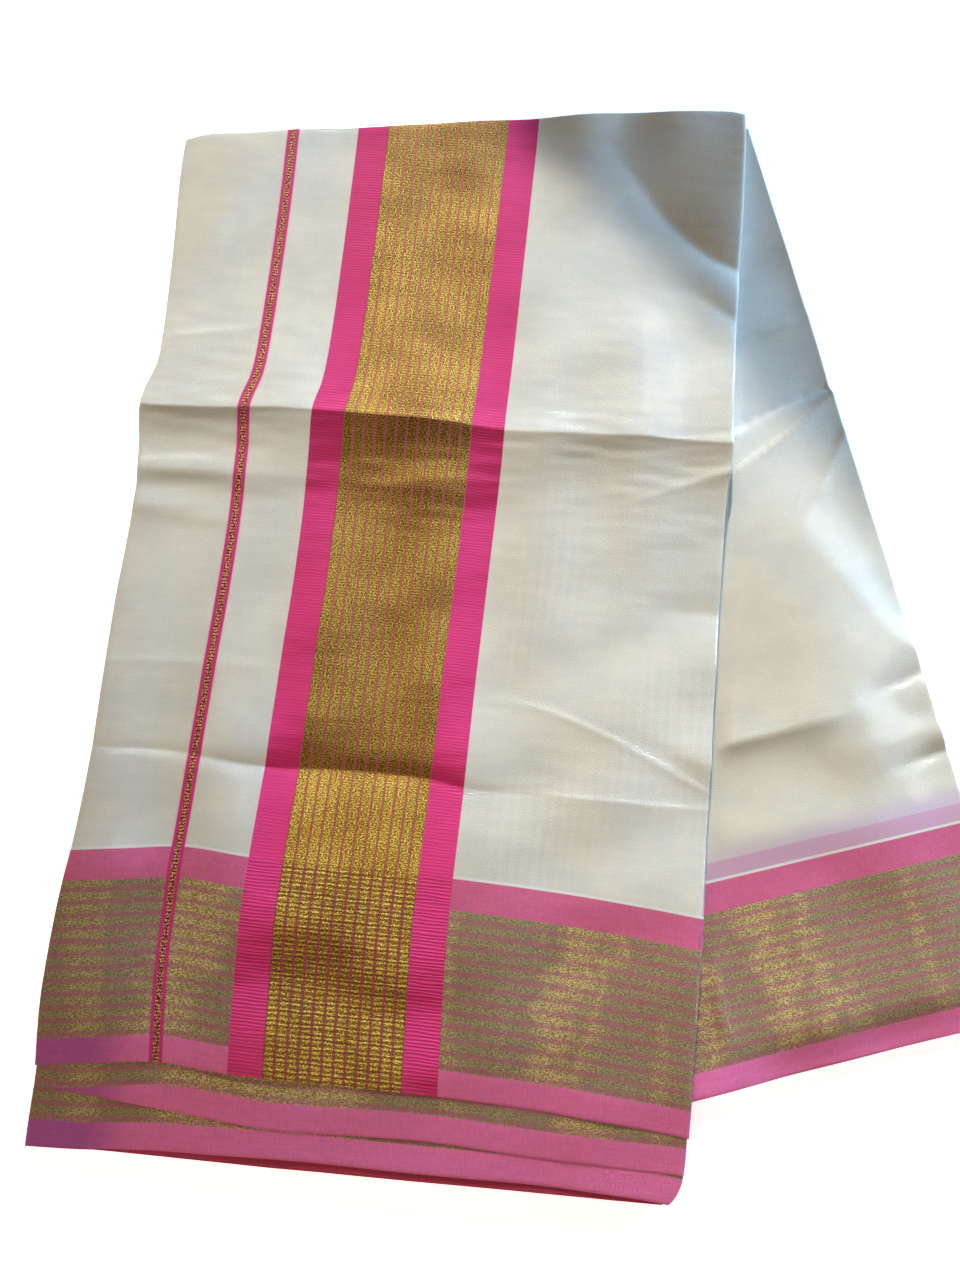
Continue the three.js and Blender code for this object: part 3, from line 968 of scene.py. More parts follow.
class Graph:
    """A material's node tree, with a short method for each kind of node that the cloth needs."""

    def __init__(self, name: str) -> None:
        """Start a material with a shader and the weave map's two coordinates in millimetres."""
        self.material = bpy.data.materials.new(name)
        self.material.use_nodes = True
        self.tree = self.material.node_tree
        self.tree.nodes.clear()
        self.shader = self.tree.nodes.new("ShaderNodeBsdfPrincipled")
        output = self.tree.nodes.new("ShaderNodeOutputMaterial")
        self.tree.links.new(self.shader.outputs[0], output.inputs[0])
        weave = self.tree.nodes.new("ShaderNodeUVMap")
        weave.uv_map = WEAVE_MAP
        parts = self.tree.nodes.new("ShaderNodeSeparateXYZ")
        self.tree.links.new(weave.outputs[0], parts.inputs[0])
        self.u = self.math("MULTIPLY", parts.outputs[0], 1.0 / MM)
        self.v = self.math("MULTIPLY", parts.outputs[1], 1.0 / MM)
        tilt = self.tree.nodes.new("ShaderNodeAttribute")
        tilt.attribute_name = TILT
        self.tilt = tilt.outputs["Fac"]

    def put(self, socket: bpy.types.NodeSocket, value: object) -> None:
        """Link a socket to an input, or set the input to a value."""
        if isinstance(value, bpy.types.NodeSocket):
            self.tree.links.new(value, socket)
        elif isinstance(value, tuple) and len(value) == 3 and socket.type == "RGBA":
            socket.default_value = (*value, 1.0)
        else:
            socket.default_value = value

    def math(self, operation: str, a: object, b: object = 0.0) -> bpy.types.NodeSocket:
        """One Math node."""
        node = self.tree.nodes.new("ShaderNodeMath")
        node.operation = operation
        self.put(node.inputs[0], a)
        self.put(node.inputs[1], b)
        return node.outputs[0]

    def times(self, *factors: object) -> bpy.types.NodeSocket:
        """The product of several values."""
        total = factors[0]
        for factor in factors[1:]:
            total = self.math("MULTIPLY", total, factor)
        return total

    def plus(self, *terms: object) -> bpy.types.NodeSocket:
        """The sum of several values."""
        total = terms[0]
        for term in terms[1:]:
            total = self.math("ADD", total, term)
        return total

    def ramp(self, value: object, low: float, high: float, start: float = 0.0, end: float = 1.0) -> object:
        """A smooth step of a value, from start at low to end at high."""
        node = self.tree.nodes.new("ShaderNodeMapRange")
        node.interpolation_type = "SMOOTHSTEP"
        for socket, given in zip(node.inputs, (value, low, high, start, end)):
            self.put(socket, given)
        return node.outputs[0]

    def between(self, value: object, low: float, high: float, soft: float) -> bpy.types.NodeSocket:
        """1 where a value lies between two limits, with edges of a given softness."""
        rising = self.ramp(value, low - soft, low + soft)
        falling = self.ramp(value, high - soft, high + soft, 1.0, 0.0)
        return self.times(rising, falling)

    def phase(self, value: object, start: float, pitch: float) -> bpy.types.NodeSocket:
        """How far a value lies through its repeat, from 0 to 1."""
        return self.math("FRACT", self.times(self.plus(value, -start), 1.0 / pitch))

    def wave(self, value: object, pitch: float) -> bpy.types.NodeSocket:
        """A wave from 0 to 1 of a value."""
        turn = self.math("SINE", self.times(value, 2.0 * math.pi / pitch))
        return self.plus(self.times(turn, 0.5), 0.5)

    def grain(self, across: float, up: float, seed: float, detail: float = 0.0) -> bpy.types.NodeSocket:
        """Noise whose marks are about across by up millimetres."""
        join = self.tree.nodes.new("ShaderNodeCombineXYZ")
        self.put(join.inputs[0], self.times(self.u, 1.0 / across))
        self.put(join.inputs[1], self.times(self.v, 1.0 / up))
        join.inputs[2].default_value = seed
        node = self.tree.nodes.new("ShaderNodeTexNoise")
        self.put(node.inputs["Vector"], join.outputs[0])
        node.inputs["Scale"].default_value = 1.0
        node.inputs["Detail"].default_value = detail
        node.inputs["Roughness"].default_value = 0.55
        return node.outputs[0]

    def mix(self, share: object, first: object, second: object, kind: str = "MIX") -> bpy.types.NodeSocket:
        """One colour mixed into another by a share."""
        node = self.tree.nodes.new("ShaderNodeMix")
        node.data_type = "RGBA"
        node.blend_type = kind
        node.clamp_factor = True
        self.put(node.inputs["Factor"], share)
        self.put(node.inputs[6], first)
        self.put(node.inputs[7], second)
        return node.outputs[2]

    def lit(self, colour: object, share: object) -> bpy.types.NodeSocket:
        """A colour made lighter or darker by a factor near 1."""
        node = self.tree.nodes.new("ShaderNodeVectorMath")
        node.operation = "SCALE"
        self.put(node.inputs[0], colour)
        self.put(node.inputs["Scale"], share)
        return node.outputs[0]

    def bump(self, height: object, depth: float, strength: float) -> None:
        """Raise the surface by a height map."""
        node = self.tree.nodes.new("ShaderNodeBump")
        node.inputs["Strength"].default_value = strength
        node.inputs["Distance"].default_value = depth * MM
        self.put(node.inputs["Height"], height)
        self.put(self.shader.inputs["Normal"], node.outputs[0])


class Woven(Enum):
    """What is woven across the length of a piece that shows."""

    BORDER_ONLY = "border only"
    BAND_AND_STRIPE = "cross band and thin stripe"


@dataclass(frozen=True)
class Dyes:
    """The yarns' colours, and the tints of painted shade and painted reflection, as linear red, green and
    blue.
    """

    cream: Colour = (0.752, 0.73, 0.636)
    bleached: Colour = (0.86, 0.86, 0.82)
    pink: Colour = (0.7, 0.045, 0.2)
    maroon: Colour = (0.2, 0.008, 0.03)
    dusty_pink: Colour = (0.68, 0.138, 0.275)
    selvedge_pink: Colour = (0.84, 0.185, 0.41)
    painted_shade_tint: Colour = (0.6, 0.58, 0.86)
    gold_painted_shade: Colour = (0.56, 0.45, 0.32)
    pink_painted_shade: Colour = (0.78, 0.5, 0.58)
    warm_cream: Colour = (0.79, 0.745, 0.61)
    stripe_edge: Colour = (0.85, 0.5, 0.6)
    column_line: Colour = (0.46, 0.09, 0.09)
    line_pink: Colour = (0.36, 0.05, 0.07)
    zari_bright: Colour = (0.92, 0.67, 0.17)
    zari_mid: Colour = (0.46, 0.265, 0.02)
    zari_dark: Colour = (0.17, 0.085, 0.003)
    zari_pale: Colour = (0.86, 0.7, 0.34)
    zari_painted_reflection: Colour = (0.3, 0.2, 0.09)
    khaki: Colour = (0.25, 0.185, 0.095)
    mauve: Colour = (0.4, 0.135, 0.15)
    lavender: Colour = (0.64, 0.46, 0.64)
    pale_pink: Colour = (0.66, 0.36, 0.53)


@dataclass(frozen=True)
class WovenCotton:
    """Woven cotton: cream ground, a pink and gold border along the selvedge, and a cross band.

    The border and band are stripes of the weave map. Gold yarn is drawn as grain between a bright and a dark
    tone, in rows on the border and in columns on the band, and is partly metallic. Its bright specks are
    partly painted sparkle, its glints and bright patches are painted highlights, and some painted light and
    shade follows the weave map's place and the face's slope.
    """

    name: str
    woven: Woven = Woven.BORDER_ONLY
    shimmer: float = 1.0
    seen_through: float = 0.0
    ghost: float = 0.0
    painted_low_shade: Colour = (1.0, 1.0, 1.0)
    tone: float = 1.0
    glints: tuple[tuple[float, float], ...] = ()
    lean: float = 0.0
    metallic: float = 0.55
    cotton_roughness: float = 0.86
    gold_roughness: float = 0.68
    relief: float = 0.32
    dyes: Dyes = field(default_factory=Dyes)

    def make(self) -> bpy.types.Material:
        """Build the material's nodes.

        Returns:
            The material.
        """
        g = Graph(self.name)
        colour, height = self.ground(g)
        colour, metal, height = self.border(g, colour, height)
        if self.woven is Woven.BAND_AND_STRIPE:
            colour, metal, height = self.stripe(g, colour, metal, height)
            colour, metal, height = self.band(g, colour, metal, height)
        g.put(g.shader.inputs["Base Color"], g.lit(colour, self.tone))
        g.put(g.shader.inputs["Metallic"], g.times(metal, self.metallic))
        rough = g.ramp(metal, 0.0, 1.0, self.cotton_roughness, self.gold_roughness)
        g.put(g.shader.inputs["Roughness"], rough)
        g.shader.inputs["Specular IOR Level"].default_value = 0.25
        g.shader.inputs["Sheen Weight"].default_value = 0.12
        g.shader.inputs["Sheen Roughness"].default_value = 0.5
        g.bump(height, self.relief, 0.6)
        return g.material

    def ground(self, g: Graph) -> tuple:
        """The cream ground: slubs along the weft, faint warp lines and cloudy patches.

        Args:
            g: The node tree.

        Returns:
            Its colour and its height.
        """
        slubs = g.grain(13.0, 0.7, 1.3, 2.0)
        warp = g.grain(0.9, 26.0, 4.1)
        cloud = g.grain(42.0, 30.0, 7.7, 2.0)
        lightness = g.plus(
            g.ramp(slubs, 0.3, 0.7, -0.02, 0.02),
            g.ramp(warp, 0.3, 0.7, -0.008, 0.008),
            g.ramp(cloud, 0.3, 0.7, -0.045, 0.045),
            g.ramp(g.grain(1.8, 0.9, 3.7, 1.0), 0.3, 0.7, -0.016, 0.016),
            1.0,
        )
        if self.ghost:
            columns = g.wave(g.plus(g.u, g.times(g.grain(30.0, 60.0, 2.5), 3.0)), 6.6)
            where = g.times(g.ramp(g.grain(60.0, 90.0, 2.9), 0.38, 0.6), g.ramp(g.v, 330.0, 400.0, 1.0, 0.0))
            where = g.times(where, g.ramp(g.u, BAND_RIGHT, BAND_RIGHT + 30.0))
            lightness = g.plus(lightness, g.times(columns, where, -self.ghost))
        # Painted shade: the cream is darker where the face rises steeply, below the storage fold's crest and
        # along the front's right rim.
        lightness = g.times(lightness, g.ramp(g.tilt, 0.34, 0.5, 1.0, 0.45))
        warm = g.mix(g.ramp(cloud, 0.35, 0.7, 0.0, 0.35), self.dyes.cream, self.dyes.warm_cream)
        # Painted shade: the cream is darker and warmer below v 270, fading out by v 420.
        nearer = g.mix(1.0, warm, self.painted_low_shade, "MULTIPLY")
        warm = g.mix(g.ramp(g.v, 270.0, 420.0, 1.0, 0.0), warm, nearer)
        colour = g.lit(warm, lightness)
        if self.seen_through:
            near = g.between(g.v, WHITE_LINE_END, SEEN_LINE_END, 0.5)
            far = g.ramp(g.v, SEEN_BORDER, SEEN_BORDER_END, 1.0, 0.0)
            rising = g.ramp(g.v, SEEN_BORDER, SEEN_BORDER + 0.6)
            far = g.times(far, rising, g.ramp(g.u, -190.0, -60.0, 0.45, 1.0))
            veil = g.plus(g.times(near, 0.85), g.times(far, 0.6))
            tint = g.mix(near, self.dyes.lavender, self.dyes.pale_pink)
            colour = g.mix(g.times(veil, self.seen_through), colour, tint)
        return colour, g.times(g.grain(0.9, 0.9, 9.0), 0.4)

    def border(self, g: Graph, colour: object, height: object) -> tuple:
        """The border: a pink selvedge, gold rows parted by thin pink lines, pink, and a white line.

        Args:
            g: The node tree.
            colour: The ground's colour.
            height: The ground's height.

        Returns:
            The colour, the share of metal and the height.
        """
        d = self.dyes
        streak = g.grain(9.0, 0.6, 3.3)
        thread = g.grain(0.7, 5.0, 5.2)
        selvedge = g.ramp(g.v, SELVEDGE_PINK, SELVEDGE_PINK + 4.0, 1.0, 0.0)
        base = g.mix(selvedge, d.dusty_pink, d.selvedge_pink)
        # Painted shade: at the far left end the selvedge pink is darker and bluer.
        corner = g.times(selvedge, g.ramp(g.u, -250.0, -212.0, 1.0, 0.0))
        base = g.mix(corner, base, g.mix(1.0, base, d.painted_shade_tint, "MULTIPLY"))
        pink = g.lit(base, g.plus(0.8, g.times(streak, 0.2), g.times(thread, 0.2)))
        pitch = (GOLD_END - SELVEDGE_PINK) / GOLD_ROWS
        through = g.phase(g.v, SELVEDGE_PINK, pitch)
        wobble = g.times(g.plus(g.grain(4.0, 1.4, 8.8, 2.0), -0.5), 0.7)
        line = g.between(g.plus(through, wobble), 0.08, 0.46, 0.13)
        # Painted highlights: bright patches of the gold, and the glints listed for each piece, where the
        # zari catches the light.
        patches = g.times(g.ramp(g.grain(26.0, 190.0, 6.1, 1.0), 0.5, 0.62), 0.45)
        for place, half in self.glints:
            edge = g.times(g.plus(g.grain(16.0, 12.0, 0.4 + place), -0.5), 26.0)
            spot = g.between(g.plus(g.u, edge, g.times(g.v, -self.lean)), place - half, place + half, 8.0)
            patches = g.math("MAXIMUM", patches, spot)
        # The specks are partly the zari's own tone and partly painted sparkle.
        specks = g.ramp(g.grain(1.15, 0.72, 2.2, 1.0), 0.44, 0.58)
        glitter = g.times(specks, g.plus(0.3, g.times(patches, 0.48)), self.shimmer)
        khaki = g.lit(d.khaki, g.plus(0.6, g.times(g.grain(1.2, 0.8, 5.7, 1.0), 0.8)))
        gold = g.mix(glitter, g.mix(g.times(patches, 0.35), khaki, d.zari_mid), d.zari_pale)
        mauve = g.lit(d.mauve, g.plus(0.65, g.times(g.grain(2.6, 0.9, 6.6, 1.0), 0.75)))
        rows = g.mix(g.times(line, g.plus(0.92, g.times(glitter, -0.5))), gold, mauve)
        zone = g.between(g.v, SELVEDGE_PINK, GOLD_END, 0.5)
        inside = g.ramp(g.v, BORDER_END - 0.4, BORDER_END + 0.4, 1.0, 0.0)
        white = g.between(g.v, BORDER_END, WHITE_LINE_END, 0.35)
        colour = g.mix(g.times(white, 0.7), colour, d.bleached)
        colour = g.mix(inside, colour, g.mix(zone, pink, rows))
        metal = g.times(zone, g.plus(0.2, g.times(glitter, 0.8)), g.plus(1.0, g.times(line, -0.8)))
        return colour, metal, g.times(height, g.plus(1.0, g.times(zone, 0.5)))

    def stripe(self, g: Graph, colour: object, metal: object, height: object) -> tuple:
        """The thin stripe: pink with a core of gold dashes.

        Args:
            g: The node tree.
            colour: The colour so far.
            metal: The share of metal so far.
            height: The height so far.

        Returns:
            The colour, the share of metal and the height.
        """
        d = self.dyes
        away = g.math("ABSOLUTE", g.plus(g.u, -STRIPE_AT))
        strip = g.ramp(away, 3.4, 4.2, 1.0, 0.0)
        core = g.ramp(g.plus(away, g.times(g.grain(1.2, 1.4, 14.0), 0.8)), 1.5, 2.4, 1.0, 0.0)
        edge = g.times(g.between(away, 3.6, 4.6, 0.4), g.ramp(g.v, BORDER_END, BORDER_END + 2.0))
        broken = g.times(g.plus(g.grain(1.0, 0.9, 12.0, 1.0), -0.5), 3.4)
        dashes = g.ramp(g.plus(g.times(g.wave(g.v, 1.9), 0.5), broken), 0.2, 0.75)
        gold = g.mix(dashes, d.maroon, d.zari_bright)
        pink = g.lit(d.pink, g.plus(0.8, g.times(g.grain(3.0, 0.8, 13.0), 0.3)))
        colour = g.mix(g.times(edge, 0.4), colour, d.stripe_edge)
        colour = g.mix(strip, colour, g.mix(core, pink, gold))
        metal = g.mix(strip, metal, g.times(core, dashes))
        return colour, metal, height

    def band(self, g: Graph, colour: object, metal: object, height: object) -> tuple:
        """The cross band: ribbed pink edges, and gold columns parted by thin pink lines.

        Where it crosses the border its weft is thicker, so the columns break into rows of gold dashes.

        Args:
            g: The node tree.
            colour: The colour so far.
            metal: The share of metal so far.
            height: The height so far.

        Returns:
            The colour, the share of metal and the height.
        """
        d = self.dyes
        crossing = g.ramp(g.v, BORDER_END - 3.0, BORDER_END + 1.0, 1.0, 0.0)
        inside = g.between(g.u, BAND_LEFT, BAND_RIGHT, 0.35)
        gold_from = BAND_LEFT + BAND_PINK
        gold_to = BAND_RIGHT - BAND_PINK
        gold_zone = g.between(g.u, gold_from, gold_to, 0.35)
        ribs = g.wave(g.plus(g.v, g.times(g.grain(14.0, 3.0, 21.0), 1.4)), 1.9)
        rib_depth = g.plus(g.times(crossing, 0.2), 0.07)
        shade = g.plus(1.04, g.times(ribs, rib_depth, -1.0), g.times(g.grain(12.0, 2.2, 22.0), 0.1))
        # Painted light: the band's pink is lighter towards the hem.
        shade = g.times(shade, g.ramp(g.v, 30.0, 330.0, 1.26, 1.0))
        pink = g.lit(d.pink, shade)
        pitch = (gold_to - gold_from) / GOLD_COLUMNS
        through = g.phase(g.u, gold_from - 0.5 * pitch, pitch)
        off_line = g.times(g.math("ABSOLUTE", g.plus(through, -0.5)), pitch)
        ragged = g.times(g.plus(g.grain(1.0, 1.3, 23.0, 1.0), -0.5), 1.9)
        width = g.plus(0.6, g.times(crossing, 0.22))
        line = g.ramp(g.plus(off_line, ragged, g.times(width, -1.0)), -0.25, 0.35, 1.0, 0.0)
        slant = g.plus(g.v, g.times(g.math("PINGPONG", g.u, 1.15), 0.8))
        specks = g.plus(g.grain(1.05, 0.62, 24.0, 1.0), g.times(g.plus(g.wave(slant, 1.7), -0.5), 0.06))
        rows = g.wave(g.plus(g.v, g.times(g.grain(9.0, 4.0, 26.0), 1.6)), 2.7)
        sheen = g.grain(30.0, 22.0, 25.0)
        level = g.plus(
            specks,
            g.times(crossing, g.plus(rows, -0.5), 0.2),
            g.times(g.plus(sheen, -0.5), 0.12),
            g.times(crossing, -0.05),
        )
        # The gold's specks and broad sheen are partly its own tone and partly painted sparkle and painted
        # sheen.
        gold = g.mix(g.ramp(level, 0.4, 0.49), d.zari_dark, d.zari_mid)
        gold = g.mix(g.ramp(level, 0.51, 0.6), gold, d.zari_bright)
        # Painted shade: the gold and the pink are darker where the face turns away from the key light, below
        # a crest.
        away = g.ramp(g.tilt, -0.01, 0.12)
        # Painted light and shade on the gold: lighter below the second fold, darker above it, and darker
        # again towards the top fold.
        painted_shading = g.times(g.ramp(g.v, 148.0, 186.0, 1.28, 0.84), g.ramp(g.v, 530.0, 590.0, 1.0, 0.84))
        gold = g.lit(gold, painted_shading)
        gold = g.mix(away, gold, g.mix(1.0, gold, d.gold_painted_shade, "MULTIPLY"))
        # Painted reflection: where the face turns steeply towards the key light, at a crest, the gold is
        # dull grey-olive.
        facing = g.ramp(g.tilt, -0.15, -0.1, 1.0, 0.0)
        gold = g.mix(g.times(facing, 0.6), gold, d.zari_painted_reflection)
        pink = g.mix(away, pink, g.mix(1.0, pink, d.pink_painted_shade, "MULTIPLY"))
        line_colour = g.mix(crossing, d.column_line, d.line_pink)
        gold = g.mix(g.times(line, 0.85), gold, line_colour)
        colour = g.mix(inside, colour, g.mix(gold_zone, pink, gold))
        shine = g.times(gold_zone, g.ramp(level, 0.3, 0.6, 0.35, 1.0), g.plus(1.0, g.times(line, -0.9)))
        metal = g.mix(inside, metal, shine)
        raised = g.plus(
            g.times(gold_zone, specks, 1.2),
            g.times(ribs, g.plus(0.3, g.times(crossing, 0.5)), -1.0),
        )
        return colour, metal, g.plus(height, g.times(inside, raised))


def dress(piece: bpy.types.Object, finish: WovenCotton, node: str) -> None:
    """Give a piece its finish and its place in the frame.

    Args:
        piece: The piece.
        finish: Its finish.
        node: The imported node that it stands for.
    """
    piece.data.materials.append(finish.make())
    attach(piece, BODY)
    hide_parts(node)


def report(piece: bpy.types.Object) -> None:
    """Log a piece's name and its number of faces."""
    log.info("%s: %d faces", piece.name, len(piece.data.polygons))


@dataclass
class FrontStretch:
    """The front panel, turned over at its left side and its top fold, with the creases of storage."""

    plan: StackPlan
    columns: int = 122
    level: float = -293.0
    row_step: float = 2.15
    steepest: float = 0.5
    rim_down: float = 0.04
    painted_rim_shade_fade: tuple[float, float] = (60.0, 150.0)
    fine: tuple[Stretch, ...] = ((85, 118, 1.2), (-126, -62, 1.2), (-131, -126, 1.6))
    finish: WovenCotton = WovenCotton(
        "front_weave",
        Woven.BAND_AND_STRIPE,
        ghost=0.032,
        glints=((2.0, 11.0), (22.0, 4.0), (-214.0, 17.0)),
        lean=0.28,
    )

    def surface(self) -> Surface:
        """The sheet: its face lies at the top of the stack, raised by the creases, less each edge's fall.

        Each point keeps how steeply the face rises there, the change of height over the change of y. Along
        the right edge's turned rim it keeps the steepest value instead, fading out up the edge, so that the
        material paints shade there.
        """
        outline = self.plan.outline("front", 0.0, 0.0, 0.0, self.level)
        edges = (Edge.turned(), Edge.cut(), Edge.cut(), Edge.turned())
        levels = graded(self.level + 4.5, self.plan.FOLD_LEVEL - 3.0, self.row_step, self.fine)
        grid = lay_grid(outline, edges, even_shares(self.columns), levels)
        height = FRONT_TOP + self.plan.relief(grid.x, grid.y, 1.0) - self.plan.drop("front", grid.x, grid.y)
        face = np.dstack([grid.x, grid.y, self.plan.sunk(height, grid.x, grid.y) - grid.down])
        from_hem = grid.y - self.plan.hem("front")(grid.x)
        sheet = shell(face, CLOTH_WALL, np.dstack([self.plan.along(grid.x, grid.y), from_hem]))
        rise = np.gradient(height, axis=0) / np.gradient(grid.y, axis=0)
        # Painted shade: the right edge's turned rim takes the steepest tilt, fading out between the given
        # values of y.
        painted_shading = (grid.down > self.rim_down) & (grid.x > 0.0)
        steep = np.where(painted_shading, self.steepest * (1.0 - smooth(grid.y, *self.painted_rim_shade_fade)), 0.0)
        sheet.tilt = np.tile(np.maximum(np.clip(rise, -self.steepest, self.steepest), steep).ravel(), 2)
        return sheet

    def build(self) -> bpy.types.Object:
        """Make and dress the front."""
        piece = self.surface().to_object("front_cloth")
        dress(piece, self.finish, "front_stretch")
        return piece


@dataclass
class LowerStretch:
    """A ply under the front, of which the border shows below the front's hem."""

    plan: StackPlan
    ply: str
    name: str
    node: str
    top: float
    level: float
    turned: bool
    left_in: float
    taper: float
    share: float
    finish: WovenCotton
    flat: tuple[float, float]
    rests_on: str
    columns: int = 70
    row_step: float = 5.0
    right_in: float = 1.0
    taper_reach: tuple[float, float] = (-278.0, -188.0)

    def surface(self) -> Surface:
        """The sheet: it follows the stack's relief by a share, and its hem comes down on the next ply."""
        outline = self.plan.outline(self.ply, self.left_in, self.left_in, self.right_in, self.level)
        side = Edge.turned() if self.turned else Edge.cut()
        fine = ((84, 112, 2.5), (self.level, self.level + 34, 1.8))
        levels = graded(self.level + 4.5, self.plan.FOLD_LEVEL - 4.0, self.row_step, fine)
        edges = (side, Edge.cut(), Edge.cut(), side)
        grid = lay_grid(outline, edges, even_shares(self.columns), levels)
        height = self.top + self.plan.relief(grid.x, grid.y, self.share)
        height = height - self.plan.drop(self.ply, grid.x, grid.y)
        face = np.dstack([grid.x, grid.y, self.plan.sunk(height, grid.x, grid.y) - grid.down])
        edge = self.plan.hem(self.ply)(grid.x)
        hidden = self.taper * (1.0 - smooth(grid.x, *self.taper_reach))
        return shell(face, CLOTH_WALL, np.dstack([grid.x, grid.y - edge + hidden]))

    def build(self) -> bpy.types.Object:
        """Make and dress the ply."""
        piece = self.surface().to_object(self.name)
        dress(piece, self.finish, self.node)
        return piece


@dataclass
class PressedPlies:
    """The hidden plies of the stack: pressed double plies, whose rounded rims show at the sides."""

    plan: StackPlan
    name: str
    node: str
    base: float
    top: float
    count: int
    insets: tuple[float, float]
    flat: tuple[float, float]
    rests_on: tuple[str, ...]
    finish: WovenCotton
    gap: float = 0.06
    tuck_left: float = 49.0
    tuck_reach: tuple[float, float] = (-318.0, -299.0)
    right_in: float = 1.0
    columns: int = 12
    row_step: float = 5.0
    seed: int = 5

    def ply(self, index: int) -> Surface:
        """One ply: its inset from the outline wanders, and its height follows the relief by its depth.

        Args:
            index: Its number, from the lowest.

        Returns:
            The closed ply.
        """
        step = (self.top - self.base) / self.count
        half = 0.5 * (step - self.gap)
        middle = self.base + (index + 0.5) * step
        share = (index + 0.5) / self.count
        trend = self.insets[0] + (self.insets[1] - self.insets[0]) * share
        wander = Ripple(self.seed + index, waves=5, height=0.5, shortest=60, longest=190)
        tucked = index == self.count - 1 and self.count > 1

        def drawn_in(t: Array) -> Array:
            """The ply's inset along a side."""
            return trend + wander.height_at(t, 0.3 * t)

        def right(y: Array) -> Array:
            """The right side, which leaves room for the swung panel in the uppermost ply."""
            side = self.plan.SIDE_RIGHT + self.plan.out_right(y) - self.right_in - drawn_in(y)
            return np.where(tucked, side + (self.tuck_left - side) * smooth(y, *self.tuck_reach), side)

        outline = Outline(
            left=lambda y: self.plan.SIDE_LEFT - self.plan.out_left(y) + drawn_in(y),
            right=right,
            bottom=lambda x: self.plan.HEM + 0.4 + 0.3 * drawn_in(x) + 0.5 * share,
            top=lambda x: self.plan.fold(x) - drawn_in(x),
            hem_level=self.plan.HEM,
            fold_level=self.plan.FOLD_LEVEL,
        )
        edges = (Edge.rounded(half),) * 4
        levels = graded(self.plan.HEM + 4.0, self.plan.FOLD_LEVEL - 4.0, self.row_step, ((84, 112, 2.5),))
        grid = lay_grid(outline, edges, even_shares(self.columns), levels)
        body = half - grid.down
        level = middle + self.plan.relief(grid.x, grid.y, 0.5 * share * share)
        level = np.maximum(self.plan.sunk(level, grid.x, grid.y), self.base + half)
        weave = np.dstack([grid.x, grid.y - self.plan.HEM])
        plan = np.dstack([grid.x, grid.y])
        return pillow(plan, level, np.clip(body, 0.0, half), weave)

    def build(self) -> bpy.types.Object:
        """Make and dress the plies as one piece."""
        surface = self.ply(0)
        for index in range(1, self.count):
            surface = surface.joined(self.ply(index))
        piece = surface.to_object(self.name, crisp=80.0)
        dress(piece, self.finish, self.node)
        return piece


